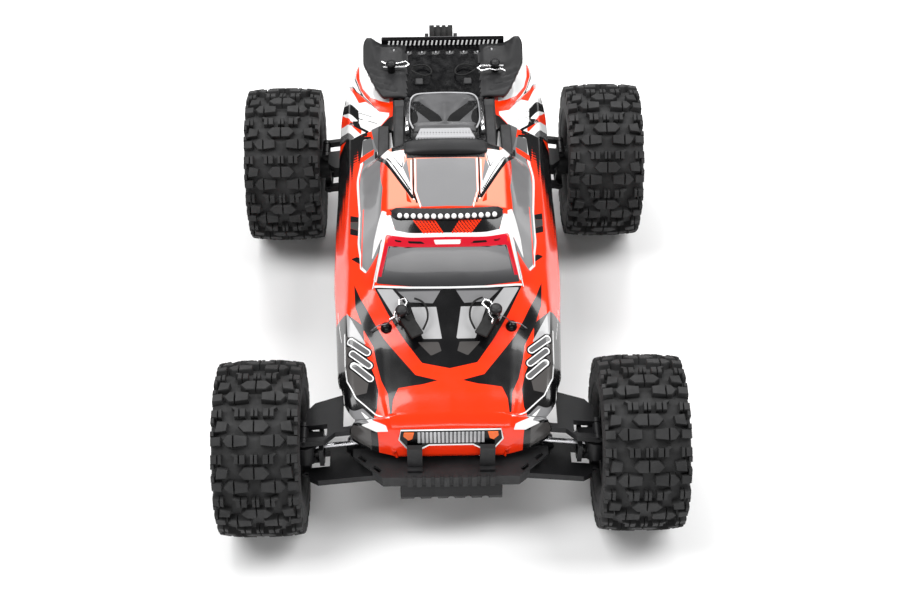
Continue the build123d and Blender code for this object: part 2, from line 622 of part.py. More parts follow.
def inset(points, t):
    """Half section moved inwards by t, its lower edge carried well below."""
    out = []
    for i, (x, z) in enumerate(points):
        a = points[max(i - 1, 0)]
        b = points[min(i + 1, len(points) - 1)]
        dx, dz = b[0] - a[0], b[1] - a[1]
        length = math.hypot(dx, dz)
        nx, nz = -dz / length, dx / length
        if i == len(points) - 1:
            nx, nz = 0.0, -1.0
        out.append((x + nx * t, z + nz * t))
    out[0] = (out[0][0], out[0][1] - 0.0)
    return out


def section_wire(y, half):
    pts = [(x, y, z) for x, z in half] + [(-x, y, z) for x, z in reversed(half[:-1])]
    return make_face(Polyline(*pts, close=True))


def shell_solid(t, y_shift_front, y_shift_back, drop):
    faces = []
    last = len(SECTIONS) - 1
    for i, (y, half) in enumerate(SECTIONS):
        pts = inset(half, t) if t else list(half)
        pts[0] = (pts[0][0], pts[0][1] - drop)
        if i == 0:
            y += y_shift_front
        if i == last:
            y -= y_shift_back
        faces.append(section_wire(y, pts))
    return loft(faces, ruled=True)


def body_shell():
    shell = shell_solid(0, 0, 0, 0) - shell_solid(SHELL_T, 1.6, 1.6, 30)
    for s in (1, -1):
        for yc, z0, z1, r in ((-HALF_BASE, 60, 109, 45), (HALF_BASE, 60, 122, 48)):
            x0, x1 = sorted((s * 58, s * 100))
            arch = slab_yz([(yc - r, z0), (yc - r * 0.8, z1 - 3), (yc - r * 0.5, z1), (yc + r * 0.5, z1),
                            (yc + r * 0.8, z1 - 3), (yc + r, z0)], x0, x1)
            shell -= arch & box(-110, 110, -158.5, 220, 50, 150)
    for x, y, _ in POSTS:
        for s in (1, -1):
            shell -= rod((s * x, y, 120), (s * x, y, 200), 3.4)
    roof_bar = slab_yz([(37, 194), (40, 199.5), (46, 200.5), (49, 195.5)], -32, 32)
    light_bar = slab_yz([(-24, 184), (-25.5, 186), (-23, 190.5), (-14, 190.5), (-12, 186)], -42, 42)
    return shell + (roof_bar - shell_solid(0, 0, 0, 0)) + (light_bar - shell_solid(0, 0, 0, 0))


def rear_wing():
    """Moulded wing over the rear deck, on two feet, with the post holes."""
    pts = [(131, 165.6), (131, 168.5), (140, 171), (184, 177.5), (187, 184), (190, 184.5), (190.5, 176),
           (186, 173.5), (142, 166.5)]
    wing = slab_yz(pts, -68, 68)
    for s in (1, -1):
        wing -= slab_xy([(s * 53, 120), (s * 80, 120), (s * 80, 152), (s * 62, 149)], 150, 200)
        wing -= slab_xy([(s * 69, 196), (s * 69, 180), (s * 54, 196)], 178.5, 200)
        wing += box(min(s * 18, s * 24), max(s * 18, s * 24), 144, 176, 162.8, 170.5)
        wing -= rod((s * 44, 158, 150), (s * 44, 158, 190), 3.4)
    for i in range(8):
        x = -24.5 + 7 * i
        wing -= rod((x, 180, 160), (x, 180, 190), 1.6)
    keep = shell_solid(0, 0, 0, 0)
    return wing - keep


def clip_wire(x, y, z, turn):
    """R-clip: a straight leg through the post and a bowed leg beside it."""
    leg = rod((-7, 0, 0), (12, 0, 0), 0.8)
    pts = [(12, 0, 0), (15, 3, 0), (12, 6.5, 0), (5, 4.0, 0), (0, 5.4, 0), (-5, 4.2, 0), (-8, 6.5, 0)]
    bow = leg
    for a, b in zip(pts, pts[1:]):
        bow += rod(a, b, 0.8) + ball(b, 0.8)
    bow += ball(pts[0], 0.8)
    return Pos(x, y, z) * Rot(0, 0, turn) * bow


def body_clips():
    clips = []
    for x, y, _ in POSTS:
        for s in (1, -1):
            clips.append(clip_wire(s * x, y, clip_height(y), clip_turn(s * x, y)))
    return clips


FRONT_TETHER = [(26.2, -71.6, 146.3), (21.4, -73.4, 146.5), (17.6, -77.6, 145.0), (15.8, -83.4, 142.2),
                (16.6, -89.4, 139.2), (20.0, -94.3, 135.9)]
REAR_TETHER = [(27.0, 153.2, 178.7), (21.2, 148.2, 178.2), (13.8, 147.8, 176.6), (9.2, 153.4, 175.4),
               (11.6, 160.6, 176.0), (18.8, 163.4, 176.6), (25.4, 160.4, 176.6)]


def corner_radii(points):
    """The largest arc that each corner's two runs allow."""
    radii = []
    for a, b, c in zip(points, points[1:], points[2:]):
        one, two = Vector(*b) - Vector(*a), Vector(*c) - Vector(*b)
        turn = math.radians(one.get_angle(two))
        radii.append(0.45 * min(one.length, two.length) / math.tan(turn / 2))
    return radii


def tether_tube(points, r):
    radii = corner_radii(points)
    print("tether radii", [round(v, 1) for v in radii])
    path = FilletPolyline(*points, radius=radii)
    start = Plane(origin=path @ 0, z_dir=path % 0)
    tube = sweep(start * Circle(r), path=path)
    print("tether length", round(path.length, 1), "volume ratio", round(tube.volume / path.length / math.pi / r ** 2, 4))
    return tube


def clip_tethers():
    cords = []
    for s in (1, -1):
        cords.append(tether_tube([(s * x, y, z) for x, y, z in FRONT_TETHER], 0.8))
        cords.append(tether_tube([(s * x, y, z) for x, y, z in REAR_TETHER], 0.7))
    return cords


def build_corners():
    names = {(-1, 1): "fr", (-1, -1): "fl", (1, 1): "rr", (1, -1): "rl"}
    for (end, side), tag in names.items():
        put("lower_arm_" + tag, lower_arm(end), end, side)
        put("upper_arm_" + tag, upper_arm(end), end, side)
        put("tyre_" + tag, tyre(end), end, side)
        put("rim_" + tag, rim(end), end, side)
        put("driveshaft_" + tag, driveshaft(end), end, side)
        put("shock_body_" + tag, shock_body(end), end, side)
        put("shock_shaft_" + tag, shock_shaft(end), end, side)
        put("spring_" + tag, spring(end), end, side)
        if end < 0:
            put("c_hub_" + tag, c_hub(), end, side)
            put("knuckle_" + tag, knuckle(), end, side)
            put("tie_rod_" + tag, tie_rod(), end, side)
        else:
            put("rear_hub_" + tag, rear_hub(), end, side)


def build_frame():
    put("servo_horn", servo_horn())
    put("steering_rack", steering_rack())
    put("steering_servo", steering_servo())
    put("chassis", chassis())
    put("gearbox_cases", corner_to_truck(gearbox(-1), -1) + corner_to_truck(gearbox(1), 1))
    put("pins_and_screws", corner_to_truck(hinge_pins(), -1) + corner_to_truck(hinge_pins(), 1))
    towers = corner_to_truck(shock_tower(-1), -1) + corner_to_truck(shock_tower(1), 1)
    put("shock_towers", towers + body_posts())
    put("front_bumper", front_bumper())
    put("wheelie_bar", wheelie_bar())
    put("wheelie_roller", wheelie_roller())


def build_power():
    put("motor", motor())
    put("motor_pinion", motor_pinion())
    put("spur_gear", spur_gear())
    put("battery", battery())
    put("speed_control", speed_control())
    put("receiver_box", receiver_box())


def build_body():
    put("body_shell", body_shell())
    put("rear_wing", rear_wing())
    put("body_clips", body_clips())
    put("clip_tethers", clip_tethers())


build_corners()
build_frame()
build_power()
build_body()
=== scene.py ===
"""Looks of a 1/10-class electric monster truck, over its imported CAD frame.

Sizes are in millimetres with Y = 0 midway between the axles and the nose towards -Y;
at() turns them into the frame's metres.
"""
import math

import bpy
import numpy as np
from mathutils import Matrix, Vector


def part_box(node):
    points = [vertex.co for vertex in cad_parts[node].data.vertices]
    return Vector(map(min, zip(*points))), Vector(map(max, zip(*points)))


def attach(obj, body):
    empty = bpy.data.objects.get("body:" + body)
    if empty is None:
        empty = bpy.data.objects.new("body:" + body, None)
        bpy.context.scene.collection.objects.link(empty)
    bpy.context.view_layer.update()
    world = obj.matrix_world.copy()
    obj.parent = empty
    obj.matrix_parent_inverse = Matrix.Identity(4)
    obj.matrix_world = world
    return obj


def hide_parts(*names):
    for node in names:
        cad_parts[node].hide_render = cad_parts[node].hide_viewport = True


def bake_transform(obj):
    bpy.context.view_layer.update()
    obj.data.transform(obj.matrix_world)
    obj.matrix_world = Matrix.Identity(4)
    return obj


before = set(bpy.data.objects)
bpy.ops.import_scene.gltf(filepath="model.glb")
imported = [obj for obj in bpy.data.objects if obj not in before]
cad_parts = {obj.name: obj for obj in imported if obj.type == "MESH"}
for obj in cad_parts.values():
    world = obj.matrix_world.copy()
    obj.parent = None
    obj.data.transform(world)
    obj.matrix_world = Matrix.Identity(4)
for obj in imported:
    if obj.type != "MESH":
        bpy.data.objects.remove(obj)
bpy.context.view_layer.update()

# ---- places taken from the frame ----
FL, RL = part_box("tyre_fl"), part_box("tyre_rl")
FRONT_Y = (FL[0][1] + FL[1][1]) / 2
REAR_Y = (RL[0][1] + RL[1][1]) / 2
MID_Y = (FRONT_Y + REAR_Y) / 2
HALF_BASE = (REAR_Y - FRONT_Y) * 500
TYRE_R = (FL[1][2] - FL[0][2]) * 500
TYRE_HALF = (FL[1][0] - FL[0][0]) * 500
CORNERS = {"fl": (-1, -1), "fr": (1, -1), "rl": (-1, 1), "rr": (1, 1)}
SIDES = ((1, "right"), (-1, "left"))


def at(p):
    return Vector((p[0] / 1000, p[1] / 1000 + MID_Y, p[2] / 1000))


# ---- camera ----
def make_camera():
    cam = bpy.data.objects.new("camera", bpy.data.cameras.new("camera"))
    bpy.context.collection.objects.link(cam)
    cam.data.lens = 62
    cam.data.clip_end = 20
    elev, turn = math.radians(50), math.radians(-1.15)
    ahead = Vector((-math.sin(turn) * math.cos(elev), math.cos(turn) * math.cos(elev), -math.sin(elev)))
    cam.location = at((-14.2, -838.5, 1057.3))
    cam.rotation_euler = ahead.to_track_quat("-Z", "Y").to_euler()
    bpy.context.scene.camera = cam


make_camera()


# ---- material helpers ----
class Nodes:
    """A Principled material and short ways to feed it."""

    def __init__(self, name, colour, rough=0.5, metal=0.0, coat=0.0, spec=0.5):
        self.mat = bpy.data.materials.new(name)
        self.mat.use_nodes = True
        self.tree = self.mat.node_tree
        self.shader = self.tree.nodes["Principled BSDF"]
        s = self.shader.inputs
        s["Base Color"].default_value = (*colour, 1)
        s["Roughness"].default_value = rough
        s["Metallic"].default_value = metal
        s["Coat Weight"].default_value = coat
        s["Coat Roughness"].default_value = 0.04
        s["Specular IOR Level"].default_value = spec

    def add(self, kind, **values):
        node = self.tree.nodes.new(kind)
        for key, value in values.items():
            if key in node.inputs:
                node.inputs[key].default_value = value
            else:
                setattr(node, key, value)
        return node

    def link(self, a, b):
        self.tree.links.new(a, b)

    def object_point(self):
        return self.add("ShaderNodeTexCoord").outputs["Object"]

    def attribute(self, name):
        return self.add("ShaderNodeAttribute", attribute_name=name)

    def noise(self, scale, detail=4.0, rough=0.55, point=None):
        node = self.add("ShaderNodeTexNoise", Scale=scale, Detail=detail, Roughness=rough)
        self.link(point or self.object_point(), node.inputs["Vector"])
        return node.outputs["Fac"]

    def ramp(self, value, stops):
        node = self.add("ShaderNodeValToRGB")
        self.link(value, node.inputs["Fac"])
        ramp = node.color_ramp
        while len(ramp.elements) < len(stops):
            ramp.elements.new(0.5)
        for element, (pos, colour) in zip(ramp.elements, stops):
            element.position = pos
            element.color = (*colour, 1)
        return node.outputs["Color"]

    def maths(self, op, a, b=None, clamp=False):
        node = self.add("ShaderNodeMath", operation=op)
        node.use_clamp = clamp
        for i, v in enumerate((a, b)):
            if v is None:
                continue
            if hasattr(v, "is_linked"):
                self.link(v, node.inputs[i])
            else:
                node.inputs[i].default_value = v
        return node.outputs[0]

    def mix(self, fac, a, b):
        node = self.add("ShaderNodeMix", data_type="RGBA")
        self.link(fac, node.inputs["Factor"])
        for value, socket in ((a, node.inputs["A"]), (b, node.inputs["B"])):
            if hasattr(value, "is_linked"):
                self.link(value, socket)
            else:
                socket.default_value = (*value, 1)
        return node.outputs["Result"]

    def bump(self, height, strength, distance):
        node = self.add("ShaderNodeBump", Strength=strength, Distance=distance)
        self.link(height, node.inputs["Height"])
        self.link(node.outputs["Normal"], self.shader.inputs["Normal"])


def moulded(name, colour, rough=0.45, grain=900.0, depth=0.00012, vary=0.25, coat=0.0, spec=0.3):
    """Moulded plastic: fine grain, slight mottling and uneven gloss."""
    n = Nodes(name, colour, rough, coat=coat, spec=spec)
    dark = tuple(c * (1 - vary) for c in colour)
    light = tuple(min(1.0, c * (1 + vary)) for c in colour)
    n.link(n.ramp(n.noise(45.0), [(0.3, dark), (0.7, light)]), n.shader.inputs["Base Color"])
    fine = n.noise(grain, 2.0)
    n.link(n.ramp(n.noise(160.0), [(0.3, (rough - 0.07,) * 3), (0.75, (rough + 0.1,) * 3)]),
           n.shader.inputs["Roughness"])
    n.bump(fine, 0.5, depth)
    return n.mat


def metal(name, colour, rough=0.25, brushed=False):
    n = Nodes(name, colour, rough, metal=1.0)
    wave = n.noise(600.0 if brushed else 120.0, 5.0)
    n.link(n.ramp(wave, [(0.3, (rough * 0.7,) * 3), (0.7, (rough * 1.5,) * 3)]), n.shader.inputs["Roughness"])
    n.bump(wave, 0.15, 0.00008)
    return n.mat


def rubber(name, colour):
    """Tyre rubber: matte, with a dusty bloom in the broad noise."""
    n = Nodes(name, colour, 0.72, spec=0.25)
    dark, light = tuple(c * 0.75 for c in colour), tuple(c * 1.45 for c in colour)
    n.link(n.ramp(n.noise(30.0, 6.0), [(0.35, dark), (0.7, light)]), n.shader.inputs["Base Color"])
    n.link(n.ramp(n.noise(220.0), [(0.3, (0.6,) * 3), (0.7, (0.82,) * 3)]), n.shader.inputs["Roughness"])
    n.bump(n.noise(1400.0, 3.0), 0.45, 0.00015)
    return n.mat


BLACK = moulded("moulded_black", (0.009, 0.009, 0.01), 0.42)
CHARCOAL = moulded("moulded_charcoal", (0.015, 0.015, 0.016), 0.5)
GREY = moulded("moulded_grey", (0.085, 0.085, 0.088), 0.38)
PALE = moulded("moulded_pale", (0.42, 0.42, 0.43), 0.35)
GLOSS_BLACK = moulded("gloss_black", (0.002, 0.002, 0.0025), 0.2, depth=0.00002, coat=0.1, spec=0.2)
TYRE = rubber("tyre_rubber", (0.027, 0.027, 0.0275))
CORD = rubber("cord_rubber", (0.012, 0.012, 0.012))
STEEL = metal("steel", (0.62, 0.62, 0.64), 0.28, brushed=True)
CHROME = metal("bright_wire", (0.86, 0.86, 0.87), 0.12)
CAN = metal("motor_can", (0.08, 0.08, 0.09), 0.35)
GUN = metal("gunmetal", (0.22, 0.22, 0.235), 0.3, brushed=True)
SPRING = moulded("spring_paint", (0.55, 0.025, 0.012), 0.3, depth=0.00005)
WHITE = moulded("lamp_white", (0.85, 0.85, 0.85), 0.25, depth=0.00002, vary=0.05)
AMBER = moulded("lamp_amber", (0.9, 0.16, 0.03), 0.2, depth=0.00002, vary=0.12)
BATTERY = moulded("battery_wrap", (0.03, 0.03, 0.035), 0.25)


# ---- mesh helpers ----
def link_mesh(name, verts, faces, mat, body="truck", smooth=True):
    mesh = bpy.data.meshes.new(name)
    mesh.from_pydata([at(v) for v in verts], [], faces)
    mesh.validate()
    mesh.update()
    obj = bpy.data.objects.new(name, mesh)
    bpy.context.collection.objects.link(obj)
    mesh.materials.append(mat)
    if smooth:
        mesh.polygons.foreach_set("use_smooth", [True] * len(mesh.polygons))
    if body:
        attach(obj, body)
    return obj


def round_edges(obj, width, segments=2):
    mod = obj.modifiers.new("edge", "BEVEL")
    mod.width = width / 1000
    mod.segments = segments
    mod.limit_method = "ANGLE"
    mod.angle_limit = math.radians(35)
    norm = obj.modifiers.new("normals", "WEIGHTED_NORMAL")
    norm.keep_sharp = True


def skin(name, rings, mat, body="truck", caps=True, smooth=True):
    """Surface through rings that all have the same number of points."""
    n = len(rings[0])
    verts = [p for ring in rings for p in ring]
    faces = []
    for i in range(len(rings) - 1):
        for j in range(n):
            k = (j + 1) % n
            faces.append((i * n + j, i * n + k, (i + 1) * n + k, (i + 1) * n + j))
    if caps:
        faces.append(tuple(reversed(range(n))))
        faces.append(tuple((len(rings) - 1) * n + j for j in range(n)))
    return link_mesh(name, verts, faces, mat, body, smooth)


def prism(name, outline, low, high, mat, bevel=0.8, axis="z"):
    """Outline in two axes carried between two values of the third, with rounded edges."""
    def place(a, b, c):
        return {"z": (a, b, c), "x": (c, a, b), "y": (a, c, b)}[axis]

    area = sum(a[0] * b[1] - b[0] * a[1] for a, b in zip(outline, outline[1:] + outline[:1]))
    flip = (area < 0) != (axis == "y")
    pts = list(reversed(outline)) if flip else list(outline)
    ring = [[place(a, b, c) for a, b in pts] for c in (low, high)]
    round_edges(skin(name, ring, mat), bevel)


def circle(centre, u, v, radius, sides):
    angles = (2 * math.pi * k / sides for k in range(sides))
    return [centre + (u * math.cos(t) + v * math.sin(t)) * radius for t in angles]


def tube(name, points, radius, mat, body="truck", sides=12):
    """Round bar along points, its ends closed."""
    pts = [Vector(p) for p in points]
    rings = []
    side = None
    for i, p in enumerate(pts):
        a, b = pts[max(i - 1, 0)], pts[min(i + 1, len(pts) - 1)]
        ahead = (b - a).normalized()
        if side is None:
            side = ahead.orthogonal().normalized()
        side = (side - ahead * side.dot(ahead)).normalized()
        up = ahead.cross(side)
        rings.append(circle(p, side, up, radius, sides))
    return skin(name, rings, mat, body)


def smooth_path(points, steps=6):
    """Catmull-Rom points through the given ones."""
    pts = [Vector(p) for p in points]
    out = []
    for i in range(len(pts) - 1):
        a, b = pts[max(i - 1, 0)], pts[i]
        c, d = pts[i + 1], pts[min(i + 2, len(pts) - 1)]
        for k in range(steps):
            t = k / steps
            out.append(0.5 * (2 * b + (c - a) * t + (2 * a - 5 * b + 4 * c - d) * t * t
                              + (3 * b - a - 3 * c + d) * t ** 3))
    out.append(pts[-1])
    return out


def lathe(name, profile, centre, axis, mat, sides=48):
    """Profile (along, radius) turned about an axis through centre."""
    a = Vector(axis).normalized()
    u = a.orthogonal().normalized()
    v = a.cross(u)
    c = Vector(centre)
    rings = [circle(c + a * x, u, v, r, sides) for x, r in profile]
    return skin(name, rings, mat, caps=profile[0][1] > 0.01)


# ---- tethers of the body clips ----
FRONT_TETHER = [(26.2, -71.6, 146.3), (21.4, -73.4, 146.5), (17.6, -77.6, 145.0), (15.8, -83.4, 142.2),
                (16.6, -89.4, 139.2), (20.0, -94.3, 135.9)]
REAR_TETHER = [(27.0, 153.2, 178.7), (21.2, 148.2, 178.2), (13.8, 147.8, 176.6), (9.2, 153.4, 175.4),
               (11.6, 160.6, 176.0), (18.8, 163.4, 176.6), (25.4, 160.4, 176.6)]


def spline_length(curve):
    copy = bpy.data.objects.new("measure", curve.data.copy())
    copy.data.bevel_depth = 0
    mesh = bpy.data.meshes.new_from_object(copy)
    pts = [v.co.copy() for v in mesh.vertices]
    bpy.data.objects.remove(copy)
    bpy.data.meshes.remove(mesh)
    return sum((b - a).length for a, b in zip(pts, pts[1:]))


def tether(name, points, radius):
    data = bpy.data.curves.new(name, "CURVE")
    data.dimensions = "3D"
    spline = data.splines.new("NURBS")
    spline.points.add(len(points) - 1)
    for p, co in zip(spline.points, points):
        p.co = (*at(co), 1)
    spline.order_u = 3
    spline.use_endpoint_u = True
    spline.resolution_u = 12
    data.bevel_depth = radius / 1000
    data.bevel_resolution = 4
    data.use_fill_caps = True
    data.materials.append(CORD)
    obj = bpy.data.objects.new(name, data)
    bpy.context.collection.objects.link(obj)
    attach(obj, "truck")
    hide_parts("clip_tethers")
    spline_length(obj)


def make_tethers():
    for s, side in SIDES:
        tether("front_tether_" + side, [(s * x, y, z) for x, y, z in FRONT_TETHER], 0.8)
        tether("rear_tether_" + side, [(s * x, y, z) for x, y, z in REAR_TETHER], 0.7)


# ---- tyres ----
# lugs of one side of the tread, as (offset round the tyre, corners across and round)
LUGS = [
    (0.0, [(5.4, -3.4), (16.4, -4.6), (16.4, 4.6), (5.4, 3.4)]),
    (0.0, [(17.4, -4.8), (21.6, -4.4), (25.6, 0.0), (21.6, 4.4), (17.4, 4.8)]),
    (0.0, [(27.2, -3.3), (35.8, -3.3), (35.8, 3.3), (27.2, 3.3)]),
    (13.9, [(0.45, -3.4), (2.9, -3.4), (2.9, 3.4), (0.45, 3.4)]),
    (13.9, [(7.3, -3.4), (11.9, -3.4), (11.9, 3.4), (7.3, 3.4)]),
    (13.9, [(12.8, -3.4), (16.8, -5.0), (18.8, -4.2), (16.2, -2.4), (16.2, 3.6), (12.8, 3.4)]),
    (13.9, [(26.8, -3.8), (29.6, -3.2), (29.6, 3.2), (26.8, 3.8)]),
    (13.9, [(30.5, -3.2), (35.8, -3.2), (35.8, 3.2), (30.5, 3.2)]),
    (24.6, [(0.45, -4.5), (8.2, -4.5), (12.9, 0.0), (8.2, 4.5), (0.45, 4.5)]),
    (24.6, [(21.4, -2.8), (30.2, -4.6), (31.8, 4.2), (22.6, 3.4)]),
    (19.2, [(33.0, -2.0), (36.0, -2.0), (36.0, 2.4), (33.0, 2.4)]),
    (29.8, [(33.0, -2.2), (36.0, -2.2), (36.0, 2.0), (33.0, 2.0)]),
]
PERIODS = 12
DRAWN_HALF = 36.5   # half width at which the lugs are drawn
DRAWN_PERIOD = 35.6   # and the length of one period there


def tread_top(x):
    return TYRE_R - 2.4 * abs(x / TYRE_HALF) ** 3


def tread_base(x):
    return TYRE_R - 5.6 - 3.2 * abs(x / TYRE_HALF) ** 4


def lug_solid(corners, u0, cx):
    """Vertices and faces of one lug: a sunken foot, a flared wall and a bevelled top."""
    mx = sum(c[0] for c in corners) / len(corners)
    mu = sum(c[1] for c in corners) / len(corners)
    verts = []
    for grow, lift in ((0.55, -0.8), (0.25, 0.15), (0.0, 0.86), (-0.45, 1.0)):
        for x, u in corners:
            dx, du = x - mx, u - mu
            reach = math.hypot(dx, du)
            x2 = mx + dx * (1 + grow / reach)
            u2 = mu + du * (1 + grow / reach)
            x2 = max(min(x2, TYRE_HALF), -TYRE_HALF)
            base, top = tread_base(x2), tread_top(x2)
            r = base + (top - base) * lift if lift > 0 else base + lift
            t = (u0 + u2) / TYRE_R
            verts.append((cx + x2, r * math.cos(t), r * math.sin(t)))
    n = len(corners)
    faces = []
    for k in range(3):
        for j in range(n):
            m = (j + 1) % n
            faces.append((k * n + j, k * n + m, (k + 1) * n + m, (k + 1) * n + j))
    faces.append(tuple(3 * n + j for j in range(n)))
    return verts, faces


def make_tyre(tag):
    low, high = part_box("tyre_" + tag)
    cx = (low[0] + high[0]) * 500
    cy = ((low[1] + high[1]) / 2 - MID_Y) * 1000
    cz = (low[2] + high[2]) * 500
    verts, faces = [], []
    wall = [(6.0, 37.8), (4.0, 38.6), (2.3, 41.5), (1.2, 45.0), (1.1, 46.2), (0.4, 46.6), (0.4, 47.8),
            (0.6, 50.0), (0.2, 53.5), (0.1, 56.0), (0.5, 58.0)]
    widen = TYRE_HALF / DRAWN_HALF
    profile = [(d - TYRE_HALF, r) for d, r in wall]
    profile += [(x * widen, tread_base(x * widen)) for x in (-34.5, -32, -28, -22, -15, -8, 0)]
    full = profile + [(-x, r) for x, r in reversed(profile[:-1])]
    steps = 144
    rows = len(full)
    for i in range(steps):
        t = 2 * math.pi * i / steps
        for x, r in full:
            verts.append((cx + x, cy + r * math.cos(t), cz + r * math.sin(t)))
    for i in range(steps):
        k = (i + 1) % steps
        for j in range(rows - 1):
            faces.append((i * rows + j, i * rows + j + 1, k * rows + j + 1, k * rows + j))
    period = 2 * math.pi * TYRE_R / PERIODS
    for p in range(PERIODS):
        for offset, corners in LUGS:
            for s in (1, -1):
                pts = [(s * x * widen, u) for x, u in corners]
                if s < 0:
                    pts.reverse()
                v, f = lug_solid(pts, p * period + offset * period / DRAWN_PERIOD, 0.0)
                start = len(verts)
                verts += [(cx + a, cy + b, cz + c) for a, b, c in v]
                faces += [tuple(start + k for k in face) for face in f]
    obj = link_mesh("lugged_tyre_" + tag, verts, faces, TYRE, "wheel_" + tag, smooth=True)
    for poly in obj.data.polygons:
        if poly.index >= steps * (rows - 1):
            poly.use_smooth = False
    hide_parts("tyre_" + tag)


# ---- springs ----
def make_spring(tag):
    side, end = CORNERS[tag]
    top, low = ((50.0, 104.0), (76.0, 54.0)) if end < 0 else ((44.0, 122.0), (74.0, 55.0))
    y = end * (HALF_BASE - 14.3)
    a, b = Vector((side * top[0], y, top[1])), Vector((side * low[0], y, low[1]))
    ahead = (b - a).normalized()
    length = (b - a).length
    start, stop = a + ahead * 9.9, a + ahead * (length - 14.3)
    u = ahead.orthogonal().normalized()
    v = ahead.cross(u)
    turns = 6.5 if end < 0 else 8.5
    pts = []
    count = int(turns * 20)
    span = (stop - start).length
    for i in range(count + 1):
        t = i / count
        # the coils lie closer together at both ends
        eased = t - 0.055 * math.sin(2 * math.pi * t)
        ang = 2 * math.pi * turns * t
        pts.append(start + ahead * (span * eased) + (u * math.cos(ang) + v * math.sin(ang)) * 7.1)
    obj = tube("coil_" + tag, pts, 0.72, SPRING, body=None, sides=8)
    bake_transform(obj)
    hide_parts("spring_" + tag)


# ---- body shell ----
SECTIONS = [
    (-171, [(41, 78), (42, 83), (42, 88), (40, 92), (36, 95), (26, 96), (0, 96)]),
    (-166, [(61, 80), (63, 91), (61, 101), (48, 106), (44, 109), (28, 110), (0, 111)]),
    (-158, [(76, 84), (78, 96), (73, 110), (50, 112), (46, 115), (28, 116), (0, 117)]),
    (-143, [(82, 90), (84, 103), (76, 117), (54, 117), (48, 120), (28, 122), (0, 123)]),
    (-105, [(86, 88), (87, 106), (78, 124), (58, 124), (50, 127), (28, 129), (0, 129)]),
    (-63, [(88, 86), (89, 110), (79, 135), (64, 143), (57, 146), (30, 147), (0, 147)]),
    (-33, [(90, 85), (91, 112), (79, 139), (67, 148), (49, 176), (28, 179), (0, 179)]),
    (-15, [(91, 85), (91.5, 113), (80, 142), (69, 151), (51, 182), (28, 187), (0, 188)]),
    (33, [(91, 85), (91, 117), (80, 148), (69, 158), (47, 191), (27, 194), (0, 194)]),
    (47, [(91, 85), (90.5, 119), (80, 149), (68, 160), (45, 190), (28, 195), (0, 195)]),
    (62, [(91, 86), (90, 120), (80, 150), (66, 160), (45, 172), (30, 188), (0, 190)]),
    (80, [(91, 90), (90, 122), (80, 151), (64, 160), (46, 168), (29, 186), (0, 187)]),
    (127, [(88.5, 102), (89, 130), (80, 153), (62, 160), (44, 164), (26, 172), (0, 172)]),
    (140, [(88, 110), (88, 137), (79, 155), (60, 160), (44, 162), (24, 163), (0, 163)]),
    (185, [(79, 122), (80, 142), (73, 156), (56, 160), (42, 162), (24, 163), (0, 163)]),
    (199, [(72, 132), (74, 142), (68, 151), (52, 155), (40, 156), (24, 156), (0, 156)]),
]
SEC_Y = np.array([s[0] for s in SECTIONS], float)
SEC_P = np.array([s[1] for s in SECTIONS], float)


def section(y):
    """Half section at y, eased between the drawn ones."""
    i = int(np.clip(np.searchsorted(SEC_Y, y) - 1, 0, len(SEC_Y) - 2))
    h = SEC_Y[i + 1] - SEC_Y[i]
    t = (y - SEC_Y[i]) / h

    def slope(k):
        if k <= 0 or k >= len(SEC_Y) - 1:
            return np.zeros_like(SEC_P[0])
        a = (SEC_P[k] - SEC_P[k - 1]) / (SEC_Y[k] - SEC_Y[k - 1])
        b = (SEC_P[k + 1] - SEC_P[k]) / (SEC_Y[k + 1] - SEC_Y[k])
        return np.where(a * b > 0, 2 * a * b / np.where(a + b == 0, 1, a + b), 0.0)

    m0, m1 = slope(i) * 0.85, slope(i + 1) * 0.85
    if i == 0:
        m0 = (SEC_P[1] - SEC_P[0]) / h
    h00, h10 = 2 * t ** 3 - 3 * t ** 2 + 1, t ** 3 - 2 * t ** 2 + t
    h01, h11 = -2 * t ** 3 + 3 * t ** 2, t ** 3 - t ** 2
    return h00 * SEC_P[i] + h10 * h * m0 + h01 * SEC_P[i + 1] + h11 * h * m1


def on_section(p, s):
    """Point at parameter s, with the corners between its straight parts rounded."""
    k = int(min(max(math.floor(s), 0), 5))
    u = s - k
    d = 0.22
    if u < d and k > 0:
        a, b, c = p[k] + (p[k - 1] - p[k]) * d, p[k], p[k] + (p[k + 1] - p[k]) * d
        w = 0.5 + u / d / 2
    elif u > 1 - d and k < 5:
        a, b, c = p[k + 1] + (p[k] - p[k + 1]) * d, p[k + 1], p[k + 1] + (p[k + 2] - p[k + 1]) * d
        w = 0.5 - (1 - u) / d / 2
    else:
        return p[k] * (1 - u) + p[k + 1] * u
    return a * (1 - w) ** 2 + 2 * b * w * (1 - w) + c * w ** 2


def lower_edge(y):
    """Height of the wheel arches' edge, or 0 where the side runs down freely."""
    best = 0.0
    for yc, flat, r in ((-HALF_BASE, 109.0, 45.0), (HALF_BASE, 122.0, 48.0)):
        d = abs(y - yc)
        if yc < 0 and y < -158.5:
            continue
        if d < r * 0.5:
            best = max(best, flat)
        elif d < r * 0.8:
            best = max(best, flat - 3 * (d - r * 0.5) / (r * 0.3))
        elif d < r:
            best = max(best, flat - 3 - (flat - 63) * (d - r * 0.8) / (r * 0.2))
    return best


def top_height(x, y):
    """Height of the shell over a point in plan."""
    p = section(y)
    x = abs(x)
    lo, hi = 1.2, 6.0
    for _ in range(30):
        mid = (lo + hi) / 2
        if on_section(p, mid)[0] > x:
            lo = mid
        else:
            hi = mid
    return float(on_section(p, (lo + hi) / 2)[1])


